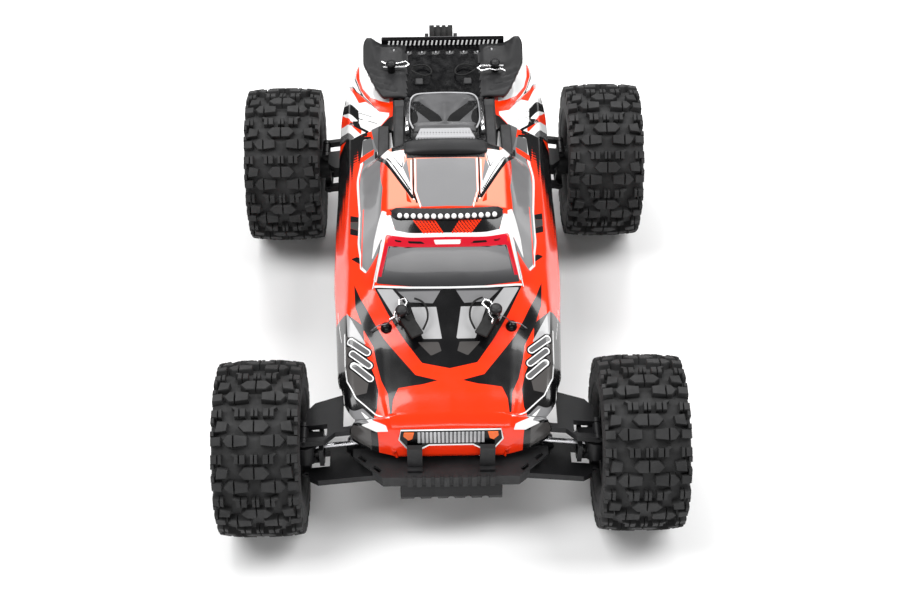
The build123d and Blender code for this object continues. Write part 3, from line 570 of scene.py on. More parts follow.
def inside_dist(px, py, poly):
    """Signed distance to a polygon, negative inside, for arrays of points."""
    pts = np.array(poly, float)
    best = np.full(px.shape, 1e9)
    inside = np.zeros(px.shape, bool)
    for (ax, ay), (bx, by) in zip(pts, np.roll(pts, -1, axis=0)):
        ex, ey = bx - ax, by - ay
        t = np.clip(((px - ax) * ex + (py - ay) * ey) / max(ex * ex + ey * ey, 1e-9), 0, 1)
        best = np.minimum(best, np.hypot(px - ax - ex * t, py - ay - ey * t))
        cross = ((ay > py) != (by > py)) & (px < (bx - ax) * (py - ay) / ((by - ay) or 1e-9) + ax)
        inside ^= cross
    return np.where(inside, -best, best)


def line_dist(px, py, line, width):
    pts = np.array(line, float)
    best = np.full(px.shape, 1e9)
    for (ax, ay), (bx, by) in zip(pts[:-1], pts[1:]):
        ex, ey = bx - ax, by - ay
        t = np.clip(((px - ax) * ex + (py - ay) * ey) / max(ex * ex + ey * ey, 1e-9), 0, 1)
        best = np.minimum(best, np.hypot(px - ax - ex * t, py - ay - ey * t))
    return best - width / 2


# The printed scheme.  Each layer: colour, then shapes as (view, smin, smax, kind, points, width).
# View T is the plan (distance from the middle, y), S the side (y, z), F the front (x, z).
RED = (1.0, 0.034, 0.002)
INK = (0.0025, 0.0025, 0.003)
PRINT_WHITE = (0.86, 0.86, 0.86)
SLOTS = [[(75.5, -97), (63, -106)], [(74, -107), (61.5, -117)], [(73, -117), (60.5, -128)]]
HATCH = [[(27.0 - 2.6 * k, -23.0), (18.0 - 2.4 * k, -33.5)] for k in range(7)]


def past_middle(points):
    return [(-8 if x == 0 else x, v) for x, v in points]


def T(points, s=(1.6, 6.0)):
    return ("T", s, "fill", past_middle(points), 0)


def TL(points, width, s=(1.6, 6.0)):
    return ("T", s, "line", past_middle(points), width)


def SF(points, s=(0.0, 4.4)):
    return ("S", s, "fill", points, 0)


def SL(points, width, s=(0.0, 4.4)):
    return ("S", s, "line", points, width)


def F(points, s=(0.0, 6.0)):
    return ("F", s, "fill", past_middle(points), 0)


LAYERS = [
    ("ink", INK, [
        T([(73, -52), (72, -72), (66, -88), (58, -102), (56, -114), (52, -131), (47, -143), (45.5, -158),
           (44, -158), (43, -148), (39, -139), (21, -137), (9, -134), (26, -129), (32, -121), (50, -97),
           (58, -84), (68, -66)]),
        T([(0, -62), (57, -61), (47, -79), (33, -101), (21, -119), (0, -126)], (3.9, 6.0)),
        T([(66, -86), (64, -108), (57, -126), (54, -139), (55, -152), (58, -160), (55, -166), (54, -172),
           (95, -172), (95, -66), (82, -72)], (0.0, 3.3)),
        T([(0, -34.5), (39, -33), (42, -25), (47, -17), (0, -16)]),
        T([(77, 14), (67, 5), (67, 1), (77, 8)]), T([(77, 2), (67, -8), (67, -13), (77, -4)]),
        T([(76, -27), (66, -39), (66, -33), (71, -28)]),
        SF([(-120, 60), (-60, 60), (60, 60), (190, 60), (190, 118), (120, 119), (60, 105), (-40, 99),
            (-90, 106), (-120, 110)], (0.0, 1.6)),
        T([(92, 119), (77, 94), (72, 82), (70, 64), (66, 62), (58, 74), (61, 92), (70, 96), (77, 100),
           (92, 122)], (0.0, 4.0)),
        T([(0, 51), (43, 51), (43, 136), (0, 136)]),
        T([(43, 52), (57, 66), (57, 96), (46, 110), (43, 110)]),
    ]),
    ("grey", (0.066, 0.062, 0.06), [
        T([(80.5, -90), (66, -101), (62, -112), (61, -128), (63, -140), (71, -142),
           (77.5, -128)], (0.6, 3.3)),
        T([(77, 8), (67, 1), (67, -8), (77, 2)]),
        T([(24, -101.5), (8, -101.5), (6, -109), (14, -113)]),
        F([(60, 108), (75, 104), (76, 88), (60, 82)], (0.0, 2.4)),
    ]),
    ("mid", (0.24, 0.24, 0.245), [
        SF([(-47, 149), (-40, 147), (9, 156), (59, 159.5), (88, 160), (88, 166), (66, 168), (50, 182),
            (5, 186), (-13, 181), (-40, 168)], (2.9, 3.98)),
        T([(41, -62.5), (5, -62.5), (12, -73), (30, -72)], (3.9, 6.0)),
        F([(0, 173.2), (45.6, 173.4), (47.2, 171.8), (55.4, 149.2), (0, 146.6)], (3.9, 6.0)),
        F([(76, 112), (66, 114), (58, 111), (60, 108), (70, 108), (77, 104)], (0.8, 3.2)),
    ]),
    ("light", (0.42, 0.42, 0.425), [
        T([(55, -62), (43, -62.5), (32, -75), (33, -87), (37, -89)], (3.9, 6.0)),
        T([(29, -75.5), (9.5, -75.5), (5.5, -99), (20, -99)], (3.9, 6.0)),
        T([(79, -73), (72, -86), (64, -99), (70, -101), (78, -92)], (1.6, 3.3)),
    ]),
    ("white", PRINT_WHITE, [
        T([(56, 72), (44, 44), (31, 42), (33, 30), (27.4, 4), (28.5, -4), (46, 27), (54.7, 60)], (3.4, 6.0)),
        F([(0, 178.8), (47.5, 178.6), (49.6, 177.2), (57.6, 150.2), (55.5, 149.6), (47.6, 175.4),
           (46.3, 176.6), (0, 176.9)], (3.7, 6.0)),
        TL([(0, -62.2), (30, -61.8), (57.0, -60.2)], 1.3, (3.8, 6.0)),
        T([(40, -31.5), (44, -17), (50.5, -12), (57, -29), (59, -42), (51, -33)], (3.0, 6.0)),
        TL([(80.5, -88), (79.8, -115), (78, -129), (71, -144), (56, -156.5), (46, -160)], 0.9, (0.8, 6.0)),
        SL([(-46, 148.6), (-40, 146.4), (9, 155), (60, 158.2), (90, 158.6)], 1.7, (2.6, 3.5)),
        F([(46.8, 105), (48.6, 108.3), (58.3, 110), (68, 113.2), (61, 108.6), (68, 106.8),
           (56, 103.2)], (0.8, 6.0)),
        TL([(24.3, 32), (24.3, 1), (20.3, -14)], 1.3, (3.6, 6.0)),
        TL([(27.4, 31), (27.2, -2), (25.2, -7)], 1.3, (3.6, 6.0)),
        T([(90, 124), (90, 200), (46, 200), (46, 112), (56, 98), (68, 99), (78, 97)], (0.4, 6.0)),
        TL([(45.5, 87), (42.5, 50)], 3.0, (3.0, 6.0)),
        SL([(-150, 108), (-105, 118), (-60, 116)], 1.0, (0.2, 1.5)),
    ]),
    ("panel", (0.225, 0.225, 0.23), [
        T([(0, 33), (23.4, 32), (23.4, 1), (19.4, -14), (0, -14)]),
        T([(31, 33), (27.2, 5), (34, 24)], (3.6, 6.0)),
    ]),
    ("crimson", (0.62, 0.006, 0.022), [
        F([(0, 176.9), (46.6, 176.6), (45.4, 171.4), (0, 171.0)], (3.9, 6.0)),
        F([(47.6, 173.0), (45.0, 173.0), (51.4, 153.0), (54.2, 153.0)], (3.8, 6.0)),
    ]),
    ("red_over", RED, [
        T([(92, 148), (88, 143), (77.6, 118), (86.5, 133), (69, 103), (69.5, 98.5), (88, 131),
           (92, 136)], (0.3, 4.2)),
        T([(76, 191), (75, 170), (71, 153), (66, 142), (62, 135), (55, 121), (43, 115), (43, 129),
           (54, 135), (62, 141), (69, 154), (72, 168), (73, 191)], (0.8, 6.0)),
        T([(81, 170), (80, 160), (72, 137), (66, 137), (55, 121), (60, 129), (69, 144),
           (74, 151)], (0.8, 4.4)),
        T([(69.5, 71), (58, 75), (58.5, 68), (69.5, 63.5)], (2.4, 4.2)),
        T([(31.6, 2), (27, -10), (31, -8)], (3.4, 6.0)),
        T([(47, -12.5), (21, -14.5), (18, -18), (47, -18)], (3.4, 6.0)),
        TL([(67.4, -40), (66, 10)], 1.1, (2.9, 3.4)),
    ] + [TL(line, 1.15) for line in HATCH]),
    ("ink_over", INK, [TL(line, 8.2, (1.0, 3.4)) for line in SLOTS] + [
        F([(45.1, 171.6), (44.3, 171.6), (50.6, 153.0), (51.4, 153.0)], (3.8, 6.0)),
        F([(0, 171.2), (45.2, 171.6), (45.2, 171.0), (0, 170.6)], (3.8, 6.0)),
        F([(17, 173.2), (30, 173.6), (31, 174.9), (20, 174.7)], (3.8, 6.0)),
        F([(34, 173.8), (40, 174.0), (41, 175.0), (36, 174.8)], (3.8, 6.0)),
        T([(0, 33), (31, 33), (31, 43), (43, 43), (43, 52), (0, 52)]),
        TL([(84.6, 150), (83, 172), (80, 192)], 0.8, (0.3, 3.2)),
        TL([(57, 70), (54, 49), (44.8, 27), (26.6, -5)], 2.4, (3.4, 6.0)),
        TL([(47, 38), (28, 2)], 1.0, (3.4, 6.0)),
        TL([(42, 37), (34.6, 24.4), (31.8, 40)], 0.9, (3.4, 6.0)),
        TL([(25.9, 32), (25.8, 0), (23, -10)], 1.4, (3.4, 6.0)),
        T([(92, 158), (88, 153.5), (72, 126), (71.5, 115), (88, 143), (92, 148)], (0.3, 4.2)),
        T([(86, 132), (77.6, 118.5), (72, 116), (69, 104)], (0.6, 4.2)),
        TL([(79, 117), (64, 99), (71, 92)], 2.2, (0.8, 4.2)),
        TL([(72, 126), (56, 112)], 0.8, (2.0, 4.4)),
        TL([(72, 119), (56, 106)], 0.9, (2.0, 4.4)),
        TL([(81.5, 171), (74.5, 152), (69, 145), (55, 122)], 0.9, (0.8, 4.4)),
        TL([(77, 192), (76, 170), (72, 154), (69, 146)], 0.9, (0.6, 4.4)),
        TL([(90, 155), (72, 127.5)], 0.8, (0.3, 4.2)),
        TL([(58, -61), (51, -34)], 1.2, (3.4, 4.05)),
        TL([(44, -13.5), (41, -17.5)], 1.0, (3.4, 6.0)),
        TL([(39, -13.5), (36, -17.5)], 1.0, (3.4, 6.0)),
        TL([(34, -13.5), (31, -17.5)], 1.0, (3.4, 6.0)),
        TL([(29, -14), (26, -17.5)], 1.0, (3.4, 6.0)),
    ]),
    ("white_over", PRINT_WHITE, [TL(line, 5.8, (1.0, 3.4)) for line in SLOTS] + [
        F([(-1, 172.9), (9.5, 172.9), (10.5, 175.4), (-1, 175.4)], (3.8, 6.0)),
        TL([(50.5, -33.5), (58.2, -61)], 0.8, (3.4, 4.1)),
    ]),
    ("slot_fill", (0.11, 0.11, 0.112), [TL(line, 4.0, (1.0, 3.4)) for line in SLOTS] + [
        T([(61, 100), (53, 102.5), (48, 97), (48.4, 89), (46.8, 80), (50, 70), (56, 73.5),
           (58.5, 85)], (2.4, 5.0)),
        T([(68, 90.5), (60.5, 90), (58.5, 75.5), (68, 71.5)], (2.4, 4.2)),
        T([(90, 126), (75, 98), (78, 97), (90, 118)], (0.3, 3.6)),
    ]),
]


FAR = 40.0         # distance given where a shape does not reach
PART_SPAN = 14.0   # rough length of one part of a section


def paint_fields(x, y, z, s):
    """Signed distance of every vertex to each printed layer."""
    ax = np.abs(x)
    views = {"T": (ax, y), "S": (y, z), "F": (ax, z)}
    out = {}
    for name, _, shapes in LAYERS:
        best = np.full(x.shape, FAR)
        for view, (s0, s1), kind, points, width in shapes:
            u, v = views[view]
            d = inside_dist(u, v, points) if kind == "fill" else line_dist(u, v, points, width)
            if view == "F":
                on_screen = max(p[1] for p in points) > 130
                d = np.where((y > -66) & (y < -30) if on_screen else y < -150, d, FAR)
            low, high = (s0 if s0 > 0 else -9), (s1 if s1 < 6 else 15)
            d = np.maximum(d, np.maximum(low - s, s - high) * PART_SPAN)
            best = np.minimum(best, d)
        out[name] = best
    # soft fades: pale roof panel, dark halftone on the flanks, and a painted reflection that lightens the
    # windscreen towards its top
    out["fade"] = np.clip((46.6 - ax) / 1.6, 0, 1) * np.clip((y + 14) / 2, 0, 1) * ((y < 52) & (s > 3.9))
    reach = (ax - 72) / 16.0 + (y - 45) / 50.0
    out["dots"] = np.clip(reach, 0, 1) * ((y > -45) & (y < 104) & (s < 3.2))
    # painted reflection: 0 at the windscreen's foot rising to 1 near its top, 1 elsewhere
    out["glass_painted_reflection"] = np.where((y > -64) & (y < -34) & (s > 4), np.clip((z - 148) / 22.0, 0, 1), 1.0)
    return out


def shell_paint():
    n = Nodes("shell_paint", RED, 0.25, coat=0.35, spec=0.35)
    point = n.object_point()
    fade = n.attribute("fade").outputs["Fac"]
    colour = n.mix(fade, RED, (1.0, 0.3, 0.2))
    # halftone: round dots whose size follows the fade
    dots = n.attribute("dots").outputs["Fac"]
    cell = n.add("ShaderNodeTexVoronoi", Scale=340.0, Randomness=0.0)
    n.link(point, cell.inputs["Vector"])
    size = n.maths("MULTIPLY", dots, 0.95)
    near = n.maths("SUBTRACT", size, cell.outputs["Distance"])
    mask = n.maths("MULTIPLY", near, 12.0, clamp=True)
    colour = n.mix(mask, colour, INK)
    for name, tint, _ in LAYERS:
        value = n.attribute("paint_" + name).outputs["Fac"]
        # 1 inside the shape, 0 outside, over a fifth of a millimetre
        inside = n.maths("MULTIPLY_ADD", value, -5.0, clamp=True)
        inside.node.inputs[2].default_value = 0.5
        # the windscreen's tint goes from near-black at its foot to lighter grey at its top: a painted
        # reflection
        if name == "mid":
            glass_painted_reflection = n.attribute("glass_painted_reflection").outputs["Fac"]
            tint = n.ramp(glass_painted_reflection, [(0.0, (0.028, 0.028, 0.03)), (0.35, (0.075, 0.075, 0.078)),
                                  (1.0, (0.2, 0.2, 0.205))])
        colour = n.mix(inside, colour, tint)
    n.link(colour, n.shader.inputs["Base Color"])
    n.link(n.ramp(n.noise(60.0), [(0.3, (0.14,) * 3), (0.75, (0.26,) * 3)]), n.shader.inputs["Roughness"])
    n.bump(n.noise(25.0, 2.0), 0.05, 0.0006)
    return n.mat


def make_shell():
    y, tail = float(SEC_Y[0]), float(SEC_Y[-1])
    ys = []
    while y < tail:
        ys.append(y)
        y += 0.9 if y < 60 else 1.3
    ys.append(tail)
    verts, info = [], []
    per = 130
    for y in ys:
        p = section(y)
        edge = lower_edge(y)
        s0 = 0.0
        if edge > p[0][1]:
            while s0 < 2.6 and on_section(p, s0)[1] < edge:
                s0 += 0.02
        half = [s0 + (6.0 - s0) * k / per for k in range(per + 1)]
        for side, ss in ((1, half), (-1, list(reversed(half[:-1])))):
            for s in ss:
                q = on_section(p, s)
                verts.append((side * q[0], y, q[1]))
                info.append(s)
    n = 2 * per + 1
    faces = []
    for i in range(len(ys) - 1):
        for j in range(n - 1):
            faces.append((i * n + j, (i + 1) * n + j, (i + 1) * n + j + 1, i * n + j + 1))
    # close the nose and the tail down to their lower edges
    for ring, way in ((0, 1), (len(ys) - 1, -1)):
        top = [ring * n + j for j in range(n)]
        levels = 6
        previous = top
        base = verts[top[0]][2]
        for k in range(1, levels + 1):
            row = []
            for j in top:
                x, yy, z = verts[j]
                verts.append((x, yy, z + (base - z) * k / levels))
                info.append(info[j])
                row.append(len(verts) - 1)
            for j in range(n - 1):
                quad = (previous[j], previous[j + 1], row[j + 1], row[j])
                faces.append(quad if way > 0 else tuple(reversed(quad)))
            previous = row
    obj = link_mesh("painted_shell", verts, faces, shell_paint(), "truck")
    arr = np.array(verts, float)
    fields = paint_fields(arr[:, 0], arr[:, 1], arr[:, 2], np.array(info))
    for name, values in fields.items():
        label = name if name in ("fade", "dots", "glass_painted_reflection") else "paint_" + name
        attribute = obj.data.attributes.new(label, "FLOAT", "POINT")
        attribute.data.foreach_set("value", values.astype(np.float32))
    mod = obj.modifiers.new("thickness", "SOLIDIFY")
    mod.thickness = 0.0012
    mod.offset = -1
    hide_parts("body_shell")


# ---- pieces on the shell ----
def make_light_bar():
    prof = [(-25.6, 184.2), (-25.8, 186.6), (-23.4, 189.4), (-18.6, 190.0), (-16.6, 188.6), (-16.6, 185)]
    rings = []
    for k in range(25):
        x = -43 + 86 * k / 24
        pull = 1 - 0.45 * max(0.0, (abs(x) - 37) / 6) ** 2
        back = 3.0 * (abs(x) / 43) ** 2
        rings.append([(x, -19 + (y + 19) * pull + back, 184 + (z - 184) * pull - 1.2 * (abs(x) / 43) ** 2)
                      for y, z in prof])
    bar = skin("light_bar", rings, CHARCOAL)
    round_edges(bar, 0.6)
    for k in range(15):
        x = -36.4 + 5.2 * k
        back = 3.0 * (x / 43) ** 2
        drop = 1.2 * (x / 43) ** 2
        lathe("bar_lamp_%02d" % k, [(-0.6, 2.1), (0.35, 2.05), (0.8, 1.5), (1.0, 0.005)],
              (x, -24.4 + back, 187.7 - drop), (0, -0.76, 0.65), WHITE, sides=16)


def make_roof_bar():
    prof = [(36.5, -4.6), (37.2, -0.6), (40.5, 1.0), (46, 1.6), (49.5, 0.6), (51, -2.6), (51, -6.5),
            (36.5, -6)]
    rings = []
    for k in range(33):
        x = -33 + 66 * k / 32
        t = abs(x) / 33
        z = 198.6 - 3.4 * t ** 3
        ends = 1 - 0.35 * max(0.0, (t - 0.85) / 0.15) ** 2
        rings.append([(x, 43.5 + (y - 43.5) * ends, z + dz) for y, dz in prof])
    bar = skin("roof_bar", rings, CHARCOAL)
    round_edges(bar, 0.8)


def perforated(name, colour, scale):
    n = Nodes(name, colour, 0.35)
    cell = n.add("ShaderNodeTexVoronoi", Scale=scale, Randomness=0.0)
    n.link(n.object_point(), cell.inputs["Vector"])
    # the holes are painted near-black: painted shade seen in the mesh's holes
    n.link(n.ramp(cell.outputs["Distance"], [(0.22, tuple(c * 0.12 for c in colour)), (0.3, colour)]),
           n.shader.inputs["Base Color"])
    n.bump(cell.outputs["Distance"], 0.4, 0.0003)
    return n.mat


def make_engine_cover():
    """Scoop behind the roof: mesh step, ribbed cover with two recesses, silver rim."""
    mesh_mat = perforated("step_mesh", (0.4, 0.4, 0.41), 420.0)
    step = skin("cover_step", [[(-24.5, 52, 194.5), (24.5, 52, 194.5), (24.5, 52, 190), (-24.5, 52, 190)],
                               [(-23.5, 54, 196.6), (23.5, 54, 196.6), (24.5, 54, 190), (-24.5, 54, 190)],
                               [(-20, 67, 193.6), (20, 67, 193.6), (21, 67, 186), (-21, 67, 186)],
                               [(-19, 69, 190.6), (19, 69, 190.6), (20, 69, 185), (-20, 69, 185)]], mesh_mat)
    round_edges(step, 0.8)
    cols = 36
    rings = []
    for i in range(41):
        y = 69 + 58 * i / 40
        t = i / 40
        half = 25 + 3.5 * min(1.0, t * 2.2) - 4.5 * max(0.0, (t - 0.72) / 0.28) ** 2
        z0 = 190.2 - 14.5 * t
        ring = []
        for k in range(cols + 1):
            u = -1 + 2 * k / cols
            x = half * u
            z = z0 - 3.0 * abs(u) ** 6
            # two slanted recesses that meet in a V over the middle
            v = abs(u)
            centre = 0.18 + 0.62 * max(0.0, (t - 0.18) / 0.62)
            depth = math.exp(-((v - centre) / 0.16) ** 2) * (1 if 0.2 < t < 0.86 else 0)
            z -= 3.4 * depth
            z += 1.2 * math.exp(-(u / 0.1) ** 2) * (0.15 < t < 0.75)
            z += 0.9 * max(0.0, math.sin(t * 44)) * (t < 0.22)
            ring.append((x, y, z))
        low = [(half, y, z0 - 9), (-half, y, z0 - 9)]
        rings.append(ring + low)
    skin("engine_cover", rings, GREY)
    left = [(-25.5, 71, 189.4), (-28.6, 84, 186.4), (-28.8, 104, 181.6), (-27.5, 118, 178.0),
            (-23, 126.4, 175.6), (-12, 128, 175.4)]
    rim = smooth_path(left + [(0, 128.2, 175.6)] + [(-x, y, z) for x, y, z in reversed(left)], 5)
    tube("cover_rim", rim, 0.75, PALE, sides=8)


def make_rear_frame():
    """Upright plates, struts and ball ends beside the engine cover."""
    for s, side in SIDES:
        flat = [(s * 30.5, 53), (s * 42, 51), (s * 42, 118), (s * 33, 118), (s * 31, 104)]
        prism("upright_in_" + side, flat, 165, 178, CHARCOAL, bevel=1.2)
        tall = [(52, 186), (70, 184), (104, 180.5), (118, 175), (118, 165), (52, 165)]
        prism("upright_fin_" + side, tall, s * 33.0, s * 41.0, CHARCOAL, bevel=1.0, axis="x")
        prism("upright_out_" + side, [(52, 178), (62, 177), (92, 173), (96, 165), (60, 163), (50, 168)],
              s * 45.5, s * 54.5, CHARCOAL, bevel=1.2, axis="x")
        rod = [(s * 30.6, 66, 190.4), (s * 30.6, 80, 188.4), (s * 30.2, 112, 181.6)]
        tube("strut_" + side, rod, 1.5, CHROME)
        for k, (y, z) in enumerate(((64.5, 190.4), (114, 181.2))):
            ball = [(-2.2, 0.4), (-1.8, 1.7), (0, 2.4), (1.8, 1.7), (2.2, 0.4)]
            lathe("strut_ball_%s_%d" % (side, k), ball, (s * 30.4, y, z), (1, 0, 0), BLACK, sides=20)


def make_grille():
    """Raised box on the nose with plain upright bars and an amber lamp at each end."""
    def face(x, t):
        """Point on the nose, t from the lower edge to the upper."""
        y = -172.4 + 4.6 * t + 0.4 * (abs(x) / 38) ** 2
        return (x, y, 90.5 + 17.0 * t)

    outline = [(-33, 0.04), (-39, 0.52), (-37.5, 1.03), (37.5, 1.03), (39, 0.52), (33, 0.04), (22, 0.04),
               (16.5, 0.24), (-16.5, 0.24), (-22, 0.04)]
    pts = [Vector(face(x, t)) for x, t in outline]
    out = Vector((0, -0.965, 0.26))
    skin("grille_back", [[tuple(p - out * 1.2) for p in pts], [tuple(p + out * 1.1) for p in pts]],
         GLOSS_BLACK, smooth=False)
    edge = [tuple(p + out * 1.2) for p in pts]
    tube("grille_edge", edge + [edge[0]], 0.62, WHITE, sides=8)
    for k in range(17):
        x = -24.0 + 3.0 * k
        a, b = Vector(face(x - 1.05, 0.36)), Vector(face(x + 1.05, 0.36))
        c, d = Vector(face(x + 1.05, 0.93)), Vector(face(x - 1.05, 0.93))
        ring = [a, b, c, d]
        bar = skin("grille_bar_%02d" % k, [[tuple(p) for p in ring], [tuple(p + out * 1.9) for p in ring]],
                   PALE, smooth=False)
        round_edges(bar, 0.25, 1)
    for s, side in SIDES:
        corners = ((27.5, 0.93), (35.2, 0.93), (35.8, 0.72), (32.0, 0.5), (29.0, 0.58))
        ring = [Vector(face(s * x, t)) for x, t in corners]
        if s < 0:
            ring.reverse()
        lamp = skin("grille_lamp_" + side, [[tuple(p) for p in ring], [tuple(p + out * 2.0) for p in ring]],
                    AMBER, smooth=False)
        round_edges(lamp, 0.4)


def make_wing():
    """Moulded wing: dished panel, raised pads, slots, a row of holes and a plain lip."""
    cols = [-68 + 136 * k / 68 for k in range(69)]
    rows = [131 + 56 * k / 36 for k in range(37)]

    def half_at(y):
        if y < 152:
            return 50 + 12 * min(1.0, (y - 131) / 21) ** 0.7
        if y > 178:
            return 68 - 3.0 * ((y - 178) / 9) ** 2
        return 62 + 6 * min(1.0, (y - 152) / 14)

    def top(x, y):
        z = 168.2 + (y - 131) * 0.165
        ax = abs(x)
        z += 1.4 * min(1.0, max(0.0, (ax - 31) / 5))
        z += 1.2 * min(1.0, max(0.0, (ax - 57) / 3))
        z += 6.0 * min(1.0, max(0.0, (y - 162) / 22)) * min(1.0, max(0.0, (ax - 52) / 9))
        pad = max(abs(ax - 46) / 13.5, abs(y - 173) / 10.5, (abs(ax - 46) + abs(y - 173)) / 19)
        z += 1.3 * min(1.0, max(0.0, (1.06 - pad) / 0.08))
        for y1, x0, x1, slant in ((157, 50, 64, -0.35), (150, 44, 62, -0.3), (143, 40, 58, -0.3)):
            along = (ax - x0) / (x1 - x0)
            off = y - (y1 + slant * (x1 - ax))
            if 0 < along < 1 and abs(off) < 1.8:
                z -= 1.6 * min(1.0, (1.8 - abs(off)) / 0.6)
        for k in range(8):
            hx = -42 + 12.0 * k
            d = math.hypot(x - hx, y - 180.5)
            z -= 1.6 * min(1.0, max(0.0, (1.9 - d) / 0.5))
        return z

    verts, faces = [], []
    for y in rows:
        h = half_at(y)
        for x in cols:
            xx = x * h / 68
            verts.append((xx, y, top(xx, y)))
    n = len(cols)
    for y in rows:
        h = half_at(y)
        for x in cols:
            xx = x * h / 68
            verts.append((xx, y, top(xx, y) - 2.4 if abs(x) < 67 else top(xx, y) - 3.4))
    size = n * len(rows)
    for i in range(len(rows) - 1):
        for j in range(n - 1):
            a = i * n + j
            faces.append((a, a + 1, a + n + 1, a + n))
            faces.append((size + a, size + a + n, size + a + n + 1, size + a + 1))
    last = len(rows) - 1
    rim = list(range(n)) + [i * n + n - 1 for i in range(1, last + 1)]
    rim += [last * n + j for j in range(n - 2, -1, -1)] + [i * n for i in range(last - 1, 0, -1)]
    for a, b in zip(rim, rim[1:] + rim[:1]):
        faces.append((a, size + a, size + b, b))
    wing = link_mesh("wing_panel", verts, faces, CHARCOAL)
    wing.data.materials.append(GLOSS_BLACK)
    for poly in wing.data.polygons:
        c = poly.center * 1000
        if abs(c.x) < 31.0 and c.z > 168:
            poly.material_index = 1
    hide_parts("rear_wing")
    lip = skin("wing_lip", [[(x, 186.2, 176.0), (x, 187.2, 183.6), (x, 189.0, 184.6), (x, 190.6, 183.8),
                             (x, 190.6, 176.0)] for x in (-52.5, -51, 0, 51, 52.5)], GLOSS_BLACK)
    round_edges(lip, 0.6)
    for k in range(26):
        x = -46.25 + 3.7 * k
        feet = ((-0.9, 0), (0.5, 0), (1.3, 1), (-0.1, 1))
        inner = [(x + dx, 186.5 + 0.6 * high, 177.8 + 4.4 * high) for dx, high in feet]
        outer = [(x + dx, 185.9 + 0.7 * high, 177.9 + 4.4 * high) for dx, high in feet]
        dash = skin("lip_dash_%02d" % k, [inner, outer], WHITE, smooth=False)
        round_edges(dash, 0.15, 1)
    for k in range(8):
        x = -42 + 12.0 * k
        lathe("wing_eyelet_%d" % k, [(-0.6, 0.4), (-0.6, 1.5), (0.0, 1.5), (0.3, 0.9), (0.35, 0.005)],
              (x, 180.5, top(x, 180.5) + 0.2), (0, -0.16, 1), PALE, sides=16)
    for s, side in SIDES:
        prism("wing_foot_" + side, [(s * 17, 144), (s * 24, 144), (s * 24, 176), (s * 17, 176)], 163.2, 171.5,
              CHARCOAL)


def make_clips():
    """Post heads, rubber pull tabs and the small domed studs beside them."""
    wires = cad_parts["body_clips"]
    wires.data.materials.clear()
    wires.data.materials.append(CHROME)
    for s, side in SIDES:
        knob = [(-9, 3.2), (0, 3.3), (0.4, 4.6), (3.2, 4.8), (4.4, 4.2), (4.8, 2.0), (4.6, 0.01)]
        lathe("front_post_head_" + side, knob, (s * 36, -86, 147.1), (0, 0, 1), BLACK)
        knob = [(-9, 3.2), (0, 3.3), (0.4, 4.2), (2.2, 4.2), (3.2, 3.2), (3.4, 0.01)]
        lathe("rear_post_head_" + side, knob, (s * 44, 158, 180.5), (0, 0, 1), BLACK)
        # pull tab, leaning forward and inward from the clip
        ahead = Vector((-s * 0.5, -0.83, -0.24)).normalized()
        across = Vector((s * 0.86, -0.5, 0)).normalized()
        up = ahead.cross(across) * s
        centre = Vector((s * 28.5, -95, 141.2))
        base = [(-9.5, -5.2), (9.5, -5.2), (9.5, 5.2), (-9.5, 5.2)]
        rings = [[tuple(centre + ahead * a + across * b + up * h) for a, b in base] for h in (-1.1, 1.3)]
        tab = skin("pull_tab_" + side, rings, CORD)
        round_edges(tab, 1.0, 3)
        cord = [(s * 33, -88.5, 145.4), (s * 32, -89.5, 144.8), (s * 30.5, -91, 143.6)]
        tube("tab_cord_" + side, smooth_path(cord, 5), 1.1, CORD)
        z = top_height(47, -90)
        lathe("stud_" + side, [(-1, 4.6), (0.2, 4.6), (1.6, 4.2), (3.6, 3.2), (4.6, 1.6), (4.9, 0.01)],
              (s * 48, -89, z - 0.6), (s * 0.25, 0, 1), GLOSS_BLACK)
        wire = [(s * 39, -88, 144.5), (s * 43, -88.5, 142.5), (s * 48, -89, z + 4.6), (s * 54, -90, 136.5),
                (s * 60, -92, 132.5)]
        tube("stud_wire_" + side, smooth_path(wire, 5), 0.45, GUN)


# ---- carried-over CAD pieces ----
def dress(node, mat):
    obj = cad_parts[node]
    obj.data.materials.clear()
    obj.data.materials.append(mat)


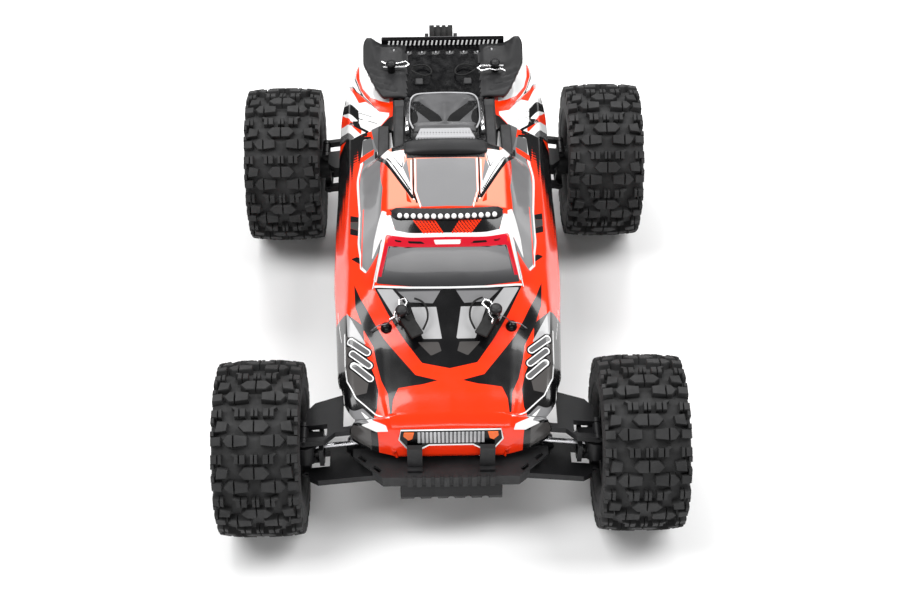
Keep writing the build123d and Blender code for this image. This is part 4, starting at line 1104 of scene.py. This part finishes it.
def dress_frame():
    for tag in CORNERS:
        dress("lower_arm_" + tag, BLACK)
        dress("upper_arm_" + tag, BLACK)
        dress(("c_hub_" if CORNERS[tag][1] < 0 else "rear_hub_") + tag, BLACK)
        dress("rim_" + tag, BLACK)
        dress("driveshaft_" + tag, STEEL)
        dress("shock_body_" + tag, GUN)
        dress("shock_shaft_" + tag, STEEL)
    for tag in ("fl", "fr"):
        dress("knuckle_" + tag, BLACK)
        dress("tie_rod_" + tag, STEEL)
    for node, mat in (("chassis", CHARCOAL), ("gearbox_cases", BLACK), ("shock_towers", BLACK),
                      ("pins_and_screws", STEEL), ("front_bumper", CHARCOAL), ("wheelie_bar", CHARCOAL),
                      ("wheelie_roller", CORD), ("motor", CAN), ("motor_pinion", STEEL), ("spur_gear", BLACK),
                      ("battery", BATTERY), ("speed_control", CAN), ("steering_servo", BLACK),
                      ("receiver_box", BLACK), ("servo_horn", GREY), ("steering_rack", BLACK)):
        dress(node, mat)


# ---- stage ----
def make_stage():
    mesh = bpy.data.meshes.new("floor")
    mesh.from_pydata([(-6, -6, 0), (6, -6, 0), (6, 6, 0), (-6, 6, 0)], [], [(0, 1, 2, 3)])
    floor = bpy.data.objects.new("floor", mesh)
    bpy.context.collection.objects.link(floor)
    n = Nodes("floor_white", (0.9, 0.9, 0.9), 0.6, spec=0.2)
    n.link(n.ramp(n.noise(3.0), [(0.2, (0.93,) * 3), (0.8, (0.95,) * 3)]), n.shader.inputs["Base Color"])
    mesh.materials.append(n.mat)
    world = bpy.data.worlds.new("studio")
    bpy.context.scene.world = world
    world.use_nodes = True
    world.node_tree.nodes["Background"].inputs["Color"].default_value = (1, 1, 1, 1)
    world.node_tree.nodes["Background"].inputs["Strength"].default_value = 0.24
    lamps = (("key", (-1.1, -0.2, 2.1), (1.0, 1.6), 40), ("fill", (1.3, 0.0, 1.9), (0.8, 1.5), 30),
             ("back", (0.0, 1.6, 1.6), (1.6, 0.7), 30), ("nose", (0.0, -1.9, 0.9), (1.6, 0.5), 10))
    for name, loc, size, power in lamps:
        data = bpy.data.lights.new(name, "AREA")
        data.shape = "RECTANGLE"
        data.size, data.size_y = size
        data.energy = power
        lamp = bpy.data.objects.new(name, data)
        bpy.context.collection.objects.link(lamp)
        lamp.location = loc
        lamp.rotation_euler = (Vector((0, 0, 0.1)) - Vector(loc)).to_track_quat("-Z", "Y").to_euler()
    bpy.context.scene.view_settings.view_transform = "Standard"


make_tethers()
for corner in CORNERS:
    make_tyre(corner)
    make_spring(corner)
make_shell()
make_light_bar()
make_roof_bar()
make_engine_cover()
make_rear_frame()
make_grille()
make_wing()
make_clips()
dress_frame()
make_stage()
